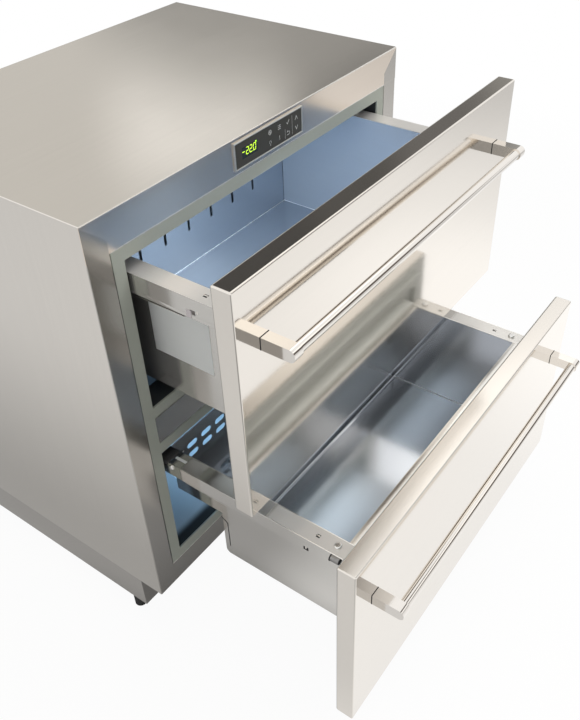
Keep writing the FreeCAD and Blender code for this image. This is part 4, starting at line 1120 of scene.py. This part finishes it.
@dataclass
class Drawer:
    """One drawer: front, handle, box, gasket and the small pieces on its flanges."""

    side: str
    back: float
    rim: float
    seal_low: float
    seal_high: float
    sides: DrawerSteel
    box: DrawerSteel
    box_nodes: Sequence[str]
    runner: RunnerSteel
    inner: Moulded
    floor: float
    box_rear: float
    handle: float
    buffer_start: Flat
    hook_place: float
    seal_half: float = 326.0
    seal_band: float = 24.0
    seal_gap: float = 1.2
    box_half: float = 279.4
    box_front: float = 25.4
    box_sheet: float = 1.3
    flange_edge: float = 310.0
    rim_fold: float = 11.0
    fold_cover: float = 0.2
    fold_drops: Flat = (1.2, 0.1)
    margin_inset: float = 1.6
    margin_depth: float = 0.2
    clip_place: float = 40.5
    clip_drop: float = 8.6
    clip: Rod = Rod(0.0, 5.6, 15.0, 0.8)
    clip_ends: Sequence[Rod] = (Rod(7.6, 6.2, 1.6, 0.4), Rod(-7.9, 5.0, 1.2, 0.3))
    tab_place: float = 81.0
    tab: Fitting = Fitting((294.0, 296.0), (-3.6, -0.2), (2.6, 1.4), 0.5)
    tab_slits: Sequence[Fitting] = (
        Fitting((292.1, 294.1), (-4.2, -0.2), (2.2, 0.12)),
        Fitting((295.9, 297.9), (-4.2, -0.2), (2.2, 0.12)),
    )
    hook: Fitting = Fitting((309.5, 310.5), (3.2, -22.4), (5.8, -18.4), 0.3)
    hook_slit: Fitting = Fitting((308.1, 308.7), (-0.4, -26.0), (9.4, -18.0))
    buffers: Sequence[Fitting] = (
        Fitting((303.4, 308.2), (0.0, -1.2), (5.0, 3.0), 0.8),
        Fitting((303.4, 308.2), (2.0, 0.0), (118.0, 2.0), 0.4),
    )
    rod: Fitting = Fitting((303.4, 308.2), (3.0, -2.6), (90.0, -1.5), 0.3)
    front_depth: float = 30.0
    post_seat: Fitting = Fitting((307.2, 325.3), (-0.7, -9.8), (0.1, 9.8))
    bend_highlight_half: float = 0.6
    bend_highlight_height: float = 1.2
    corner_half: float = 0.35
    corner_depth: float = 0.5
    corner_ends: Flat = (1.0, 1.4)
    seam_round: float = 0.3
    profile: Sequence[Flat] = (
        (-11.8, 0.2), (-11.8, 1.3), (-9.0, 1.5), (-10.8, 2.4), (-8.6, 3.3), (-10.8, 4.2),
        (-9.2, 5.0), (-10.2, 5.6), (-10.4, 6.8), (-9.6, 7.7), (-8.2, 8.0), (8.2, 8.0),
        (9.6, 7.7), (10.4, 6.8), (10.2, 5.6), (9.2, 5.0), (10.8, 4.2), (8.6, 3.3),
        (10.8, 2.4), (9.0, 1.5), (11.8, 1.3), (11.8, 0.2),
    )

    def own(self, name: str) -> str:
        """Full name of one of this drawer's nodes, pieces or bodies."""
        return f"{self.side}_{name}"

    def dress(self) -> None:
        """Finishes of the drawer's CAD nodes."""
        dress(STEEL_FRONT, self.own("front_skin"))
        dress(STEEL_HANDLE, self.own("handle_bar"), self.own("handle_posts"))
        dress(FOAM, self.own("front_foam"))
        dress(self.inner, self.own("inner_panel"))
        dress(self.box, *self.box_nodes)
        dress(self.sides, self.own("box_sides"))
        dress(RUNNER_ZINC, self.own("drawer_runners"))
        dress(self.runner, self.own("middle_runners"))
        dress(CHROME, self.own("flange_bolts"))

    def piece(
        self, bench: Bench, name: str, finish: Finish, slot: Optional[str] = None,
        replaces: Sequence[str] = (), smooth: bool = True,
    ) -> None:
        """Finishes a piece that rides on this drawer; its name is given without the drawer's."""
        bench.finish(self.own(name), finish, self.own("drawer"), slot, replaces, smooth)

    def gasket(self) -> None:
        """Bellows gasket with mitred corners, in place of the plain seal."""
        bench = Bench()
        mesh = bench.mesh
        base, corner = self.back + self.seal_gap, self.seal_high - self.seal_band / 2
        ring = [mesh.verts.new((self.seal_half + s, base + t, corner + s)) for s, t in self.profile]
        loop = [mesh.edges.new(ends) for ends in zip(ring, ring[1:] + ring[:1])]
        over_x = Matrix.Diagonal((-1.0, 1.0, 1.0, 1.0))
        over_z = Matrix.Diagonal((1.0, 1.0, -1.0, 1.0))
        over_z = Matrix.Translation((0, 0, self.seal_low + self.seal_high)) @ over_z
        for mirror in (over_x, over_z, over_x, over_z):
            made = bmesh.ops.extrude_edge_only(mesh, edges=loop)["geom"]
            verts = [g for g in made if isinstance(g, bmesh.types.BMVert)]
            edges = [g for g in made if isinstance(g, bmesh.types.BMEdge)]
            loop = [edge for edge in edges if all(vert in verts for vert in edge.verts)]
            bmesh.ops.transform(mesh, matrix=mirror, verts=verts)
        bmesh.ops.remove_doubles(mesh, verts=mesh.verts[:], dist=0.001)
        self.piece(bench, "gasket", GASKET, "seal_rubber", [self.own("seal")])

    def flange_fittings(self) -> None:
        """Pressed tabs and lip hooks in lighter steel that paints their highlight, painted shade in
        their slits, and the front clips.
        """
        tabs, slits, clips = Bench(), Bench(), Bench()
        along = self.back + self.tab_place
        tabs.pair(self.tab, along, self.rim)
        for slit in self.tab_slits:
            slits.pair(slit, along, self.rim)
        along = self.back + self.hook_place
        tabs.pair(self.hook, along, self.rim)
        slits.pair(self.hook_slit, along, self.rim)
        along, up = self.back + self.clip_place, self.rim - self.clip_drop
        rods = [(clips, self.clip), *((slits, end) for end in self.clip_ends)]
        for across in (-self.flange_edge, self.flange_edge):
            for bench, rod in rods:
                place = (across, along + rod.offset, up)
                bench.disc(place, Axis.Y, rod.radius, rod.length, bevel=rod.bevel)
        self.piece(tabs, "pressed_tabs", PAINTED_HIGHLIGHT_STEEL, "drawer_steel")
        self.piece(slits, "slits", PAINTED_GAP_SHADE, "black_plastic")
        self.piece(clips, "front_clips", CLIP, "zinc_steel")

    def runner_fittings(self) -> None:
        """Black buffers, which also stand in for the shade under the lip, and rods that paint a
        highlight line, all riding on the middle runners.
        """
        buffers, rods = Bench(), Bench()
        for buffer in self.buffers:
            buffers.pair(buffer, *self.buffer_start)
        rods.pair(self.rod, *self.buffer_start)
        body = self.own("runner_middle")
        buffers.finish(self.own("runner_buffers"), BLACK, body, "black_plastic")
        rods.finish(self.own("runner_rods"), PAINTED_HIGHLIGHT_STEEL, body, "zinc_steel")

    def box_seams(self) -> None:
        """Painted highlight lines along the floor's bends, painted shade in the rear corners and the
        folded front rim with its painted highlight.
        """
        bend_highlights, corners, fold = Bench(), Bench(), Bench()
        wall, floor, rim, bevel = self.box_half, self.floor, self.rim, self.seam_round
        front, rear = self.back + self.box_front, self.box_rear - self.box_sheet
        top = floor + self.bend_highlight_height
        span = (wall - self.bend_highlight_half, wall + self.bend_highlight_half)
        bend_highlights.pair(Fitting(span, (front, floor), (rear, top), bevel))
        bend_highlights.block((-wall, rear - self.bend_highlight_height, floor), (wall, rear, top), bevel)
        span = (wall - self.corner_half, wall + self.corner_half)
        under, over = self.corner_ends
        low, high = (rear - self.corner_depth, floor + under), (rear, rim - over)
        corners.pair(Fitting(span, low, high))
        under, over = (rim - drop for drop in self.fold_drops)
        near, far = front - self.fold_cover, front + self.rim_fold
        fold.block((-wall, near, under), (wall, far, over), bevel)
        self.piece(bend_highlights, "bend_highlight_lines", PAINTED_BEND_HIGHLIGHT, "drawer_steel")
        self.piece(corners, "corner_lines", PAINTED_GAP_SHADE, "black_plastic", smooth=False)
        self.piece(fold, "front_rim", PAINTED_HIGHLIGHT_STEEL, "drawer_steel")

    def rear_margin(self) -> None:
        """Thin coated margin on the front's back, round the gasket."""
        margin = Bench()
        low, high = (Vector(corner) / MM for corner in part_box(self.own("front_skin")))
        inset = self.margin_inset
        near, far = self.back, self.back + self.margin_depth
        wide, bottom, top = high.x - inset, low.z + inset, high.z - inset
        inner = self.seal_half + self.seal_band / 2
        margin.pair(Fitting((inner, wide), (near, bottom), (far, top)))
        margin.block((-inner, near, bottom), (inner, far, self.seal_low))
        margin.block((-inner, near, self.seal_high), (inner, far, top))
        # The margin takes the inner panel's finish: painted shade on the upper drawer, painted light
        # on the lower.
        self.piece(margin, "rear_margin", self.inner, smooth=False)

    def post_seats(self) -> None:
        """Painted shade in the joint between each handle post and the front."""
        seats = Bench()
        seats.pair(self.post_seat, self.back - self.front_depth, self.handle)
        self.piece(seats, "post_seats", PAINTED_GAP_SHADE, "black_plastic", smooth=False)

    def build(self) -> None:
        """Gasket, fittings, seams and handle joints."""
        self.gasket()
        self.flange_fittings()
        self.runner_fittings()
        self.box_seams()
        self.rear_margin()
        self.post_seats()


@dataclass
class UpperDrawer(Drawer):
    """Upper drawer, with the bare plate on its left side."""

    side: str = "upper"
    back: float = -238.0
    rim: float = 758.0
    seal_low: float = 493.0
    seal_high: float = 803.0
    sides: DrawerSteel = UPPER_SIDES
    box: DrawerSteel = UPPER_BOX
    box_nodes: Sequence[str] = ("upper_box_ends", "upper_box_floor")
    runner: RunnerSteel = UPPER_RUNNER
    inner: Moulded = UPPER_INNER_PAINTED_SHADE
    floor: float = 541.2
    box_rear: float = 156.0
    handle: float = 748.5
    buffer_start: Flat = (-129.0, 722.6)
    hook_place: float = 79.5
    plate_face: float = -280.7
    plate_depth: float = 0.4
    plate_low: Flat = (-142.0, 606.5)
    plate_high: Flat = (-30.3, 726.0)
    plate_round: float = 0.15
    stop: Fitting = Fitting((303.0, 311.0), (-143.0, 725.9), (-134.0, 737.5), 0.8)
    lip_hem: Fitting = Fitting((308.8, 310.0), (-232.0, -33.2), (150.0, -26.5), 0.3)

    def build(self) -> None:
        """Common pieces, the plate, the runner stops and the hems of the lips."""
        super().build()
        plate, stops, hems = Bench(), Bench(), Bench()
        left, right = self.plate_face - self.plate_depth, self.plate_face
        plate.block((left, *self.plate_low), (right, *self.plate_high), self.plate_round)
        stops.pair(self.stop)
        hems.pair(self.lip_hem, up=self.rim)
        self.piece(plate, "side_plate", PLATE)
        self.piece(stops, "runner_stops", WHITE_PLASTIC)
        self.piece(hems, "lip_hems", UPPER_SIDES)


@dataclass
class LowerDrawer(Drawer):
    """Lower drawer, whose rear end shows caps, screws and slots."""

    side: str = "lower"
    back: float = -406.0
    rim: float = 398.0
    seal_low: float = 157.0
    seal_high: float = 443.0
    sides: DrawerSteel = LOWER_SIDES
    box: DrawerSteel = LOWER_BOX
    box_nodes: Sequence[str] = ("lower_box_ends", "lower_box_floors")
    runner: RunnerSteel = LOWER_RUNNER
    inner: Moulded = LOWER_INNER_PAINTED_LIGHT
    floor: float = 197.2
    box_rear: float = -121.2
    handle: float = 368.0
    buffer_start: Flat = (-163.9, 368.6)
    hook_place: float = 88.0
    rear_edge: Sequence[Point] = ((-278.0, -24.2, 397.1), (278.0, -22.6, 398.2))
    edges: Sequence[Fitting] = (
        Fitting((279.4, 281.0), (-378.0, -1.1), (-46.0, 0.2), 0.3),
        Fitting((308.9, 310.2), (-378.0, -1.1), (-46.0, 0.2), 0.3),
    )
    cap: Fitting = Fitting((281.5, 310.6), (-43.0, -6.0), (-22.2, 2.2), 1.2)
    inlay: Fitting = Fitting((291.8, 297.0), (-68.5, -0.2), (-46.5, 0.15))
    notch: Point = (259.0, -23.4, 365.0)
    notch_size: Flat = (4.4, 0.4)
    notch_sides: int = 3
    screw_place: Flat = (-49.0, 389.4)
    screw_size: Flat = (5.2, 2.6)
    hem: Fitting = Fitting((280.6, 281.0), (-130.7, 218.0), (-129.3, 277.0))
    hem_step: Fitting = Fitting((280.6, 281.0), (-130.7, 276.0), (-128.4, 278.0))
    hem_steps: int = 6
    hem_lean: Flat = (2.2, 1.7)

    def build(self) -> None:
        """Common pieces, bright edges of painted highlight, and the rear end's caps, screws, inlays
        and hem lines of painted shade.
        """
        super().build()
        edges, caps, screws, inlays, hems = (Bench() for _ in range(5))
        edges.block(*self.rear_edge, self.seam_round)
        for edge in self.edges:
            edges.pair(edge, up=self.rim)
        caps.pair(self.cap, up=self.rim)
        inlays.pair(self.inlay, up=self.rim)
        for side in SIDES:
            place = (side * self.flange_edge, *self.screw_place)
            screws.screw(place, Axis.X, *self.screw_size, side)
            place = (side * self.notch[0], *self.notch[1:])
            inlays.disc(place, Axis.Y, *self.notch_size, self.notch_sides)
        hems.pair(self.hem)
        for step in range(self.hem_steps):
            hems.pair(self.hem_step, *(lean * step for lean in self.hem_lean))
        self.piece(edges, "bright_edges", PAINTED_HIGHLIGHT_STEEL, "drawer_steel")
        self.piece(caps, "flange_caps", BLACK, "black_plastic")
        self.piece(screws, "lip_screws", CHROME, "zinc_steel")
        self.piece(inlays, "inlays", PLATE)
        self.piece(hems, "hem_lines", PAINTED_GAP_SHADE, "black_plastic", smooth=False)


# ---------------------------------------------------------------- studio


@dataclass(frozen=True)
class Zone:
    """A soft round zone of the surroundings: its middle and size in degrees, and its colour."""

    elevation: float
    azimuth: float
    edge: float
    core: float
    colour: Colour

    def share(self, graph: Graph, way: Wire) -> Wire:
        """How far a direction is inside the zone.

        Args:
            graph: Where the nodes go.
            way: Direction looked in.

        Returns:
            0 outside the zone, 1 in its core.
        """
        up, turn = math.radians(self.elevation), math.radians(self.azimuth)
        middle = (math.cos(up) * math.cos(turn), math.cos(up) * math.sin(turn), math.sin(up))
        near = graph.add("VectorMath", {"operation": "DOT_PRODUCT"}, {0: way, 1: middle}, "Value")
        return near.rise(math.cos(math.radians(self.edge)), math.cos(math.radians(self.core)))


@dataclass(frozen=True)
class Lamp:
    """A rectangular soft light: places and size in metres, power in watts, spread in degrees."""

    name: str
    place: Point
    aim: Point
    size: Flat
    power: float
    colour: Colour = WHITE
    spread: float = 180.0

    def build(self) -> None:
        """Adds the light, which neither the camera nor a reflection shows."""
        data = bpy.data.lights.new(self.name, "AREA")
        data.spread = math.radians(self.spread)
        data.shape = "RECTANGLE"
        data.size, data.size_y = self.size
        data.energy = self.power
        data.color = self.colour
        made = bpy.data.objects.new(self.name, data)
        made.location = self.place
        run = Vector(self.aim) - Vector(self.place)
        made.rotation_euler = run.to_track_quat("-Z", "Y").to_euler()
        made.visible_glossy = False
        made.visible_camera = False
        bpy.context.scene.collection.objects.link(made)


COOL = (0.76, 0.88, 1.0)
BLUE = (0.45, 0.74, 1.0)


@dataclass
class Studio:
    """Floor, background, lamps and camera."""

    zones: Sequence[Zone] = (
        Zone(20, 54, 34, 12, (0.62, 0.605, 0.575)),
        Zone(17, 34, 12, 3, (0.36, 0.355, 0.34)),
        Zone(20.5, 21.5, 7, 3, (0.30, 0.295, 0.28)),
        Zone(25, 28, 8, 4, (0.16, 0.155, 0.15)),
        Zone(29, 35, 8, 4, (0.10, 0.097, 0.093)),
        Zone(33, 42, 8, 4, (0.07, 0.068, 0.066)),
        Zone(23.5, 43.5, 8, 1, (0.92, 0.905, 0.875)),
        Zone(12, 41, 12, 4, (0.33, 0.325, 0.31)),
        Zone(36, 24, 6, 3, (0.5, 0.49, 0.475)),
        Zone(46, 16, 10, 6, (1.5, 1.48, 1.45)),
        Zone(52, -48, 14.5, 6, (0.08, 0.068, 0.059)),
        Zone(13, -46, 17, 7, (0.12, 0.101, 0.088)),
        Zone(34, -43, 10, 4, (1.3, 1.28, 1.24)),
    )
    lamps: Sequence[Lamp] = (
        Lamp("overhead", (0.4, -0.4, 2.7), (0, -0.1, 0.4), (2.4, 2.4), 42),
        Lamp("front_key", (1.4, -2.0, 1.9), (0, 0, 0.4), (1.8, 1.8), 24),
        Lamp("left_fill", (-2.3, -0.4, 1.4), (0, 0, 0.4), (1.6, 1.6), 10),
        Lamp("upper_bay_lamp", (-0.08, -0.015, 0.774), (-0.02, -0.02, 0.45), (0.26, 0.02), 1.2,
             COOL),
        Lamp("lower_bay_lamp", (0.04, -0.075, 0.34), (0.04, -0.08, 0.54), (0.42, 0.09), 0.34,
             COOL, 60),
        Lamp("lower_bay_glow", (-0.05, 0.05, 0.412), (-0.08, 0.05, 0.18), (0.5, 0.06), 0.55,
             BLUE, 110),
        Lamp("gap_lift", (0.05, -0.285, 0.56), (0.05, -0.41, 0.40), (0.55, 0.03), 0.18),
    )
    camera_place: Point = (-0.90625, -0.76363, 1.34988)
    camera_axes: Sequence[Point] = (
        (0.5793, -0.8148, -0.0243), (0.5265, 0.3512, 0.7742), (-0.6223, -0.4613, 0.6325),
    )
    lens: float = 40.735
    sensor: float = 36.0
    shift: Flat = (-0.01996, -0.00525)
    clip: Flat = (0.01, 100.0)
    ambient: float = 0.32
    floor_radius: float = 12.0
    paper: Colour = (0.88, 0.875, 0.865)
    # Spots of the floor's painted pool of light and painted shadow.
    painted_light_pool: Flat = (0.9, -0.55)
    painted_shadow_spot: Flat = (-0.95, -1.0)

    def camera(self) -> None:
        """Camera at the photograph's viewing angle."""
        data = bpy.data.cameras.new("camera")
        data.lens = self.lens
        data.sensor_width = self.sensor
        data.shift_x, data.shift_y = self.shift
        data.clip_start, data.clip_end = self.clip
        made = bpy.data.objects.new("camera", data)
        turn = Matrix(self.camera_axes).transposed().to_quaternion().to_matrix().to_4x4()
        made.matrix_world = Matrix.Translation(self.camera_place) @ turn
        bpy.context.scene.collection.objects.link(made)
        bpy.context.scene.camera = made

    def seen(self, graph: Graph) -> tuple[Wire, Wire]:
        """Light Path masks.

        Args:
            graph: Where the node goes.

        Returns:
            Camera rays alone, and camera, glossy and transmission rays together.
        """
        node = graph.add("LightPath").socket.node
        kinds = ("Camera", "Glossy", "Transmission")
        camera, glossy, through = (Wire(graph, node.outputs[f"Is {kind} Ray"]) for kind in kinds)
        return camera, camera.most(glossy).most(through)

    def world(self) -> None:
        """White surroundings with the grey zones that polished sheet shows."""
        world = bpy.data.worlds.new("studio")
        bpy.context.scene.world = world
        world.use_nodes = True
        graph = Graph(world.node_tree)
        camera, seen = self.seen(graph)
        way = graph.add("TexCoord", out="Generated")
        room: Value = WHITE
        for zone in self.zones:
            room = graph.mix(zone.share(graph, way), room, zone.colour)
        sky = graph.mix(camera, room, WHITE)
        light = graph.mix(seen, (self.ambient,) * 3, sky)
        shader = graph.add("Background", None, {"Color": light, "Strength": 1.0})
        graph.surface(shader, "OutputWorld")

    def near(self, across: Wire, along: Wire, spot: Flat) -> Wire:
        """Distance on the floor from a spot."""
        return ((across - spot[0]) ** 2.0 + (along - spot[1]) ** 2.0) ** 0.5

    def floor_tone(self, across: Wire, along: Wire) -> Wire:
        """Brightness of the floor where it is reflected: a painted pool of light and painted
        shadows.

        Args:
            across: x on the floor.
            along: y on the floor.

        Returns:
            A grey level, 1 for white.
        """
        under = abs(across).rise(0.42, 0.34) * along.rise(-0.46, -0.36) * along.rise(0.3, 0.1)
        # painted shadows, each a depth and where it falls
        shades = (
            (0.32, across.rise(1.15, 2.5)),  # far to the right
            (0.05, along.rise(-0.85, -1.1)),  # in front
            (0.6, self.near(across, along, self.painted_shadow_spot).rise(0.75, 0.25)),  # front left
            (0.55, across.rise(-0.92, -0.38) * along.rise(-0.25, -0.05)),  # beside the cabinet
            (0.32, across.rise(-0.28, -0.5)),  # left
            # painted shadow beneath the part
            (0.7, under),
        )
        # painted pool of light round a spot in front
        tone = 1.16 - 0.16 * self.near(across, along, self.painted_light_pool).rise(0.1, 0.6)
        for depth, share in shades:
            tone = tone * (1.0 - depth * share)
        return tone

    def floor(self) -> None:
        """Pale floor that keeps a soft shadow, fades to white far out and shows painted light and
        shade in reflections.
        """
        bench = bmesh.new()
        bmesh.ops.create_circle(bench, cap_ends=True, segments=64, radius=self.floor_radius)
        data = bpy.data.meshes.new("floor")
        bench.to_mesh(data)
        bench.free()
        made = bpy.data.objects.new("floor", data)
        bpy.context.scene.collection.objects.link(made)
        material = bpy.data.materials.new("floor_paper")
        material.use_nodes = True
        graph = Graph(material.node_tree)
        camera, seen = self.seen(graph)
        across, along, _ = graph.axes()
        far = (across * across + along * along).rise(1.4, 6.0)
        tone = camera + (1.0 - camera) * self.floor_tone(across, along)
        paper = graph.add("BsdfDiffuse", None, {"Color": self.paper})
        glow = {"Color": graph.shaded(WHITE, tone), "Strength": 1.0}
        white = graph.add("Emission", None, glow)
        share = seen * (0.84 + camera * (0.11 + 0.05 * far))
        graph.surface(graph.add("MixShader", None, {0: share, 1: paper, 2: white}))
        data.materials.append(material)

    def build(self) -> None:
        """Makes everything around the object."""
        self.camera()
        self.world()
        self.floor()
        for lamp in self.lamps:
            lamp.build()
        bpy.context.scene.view_settings.view_transform = "Standard"


def main() -> None:
    """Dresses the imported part, adds its small pieces and sets the studio."""
    logging.basicConfig(level=logging.INFO, format="%(message)s")
    for assembly in (Shell(), ControlPanel(), UpperDrawer(), LowerDrawer()):
        assembly.dress()
        assembly.build()
    Machine().dress()
    Studio().build()


if __name__ == "__main__":
    main()
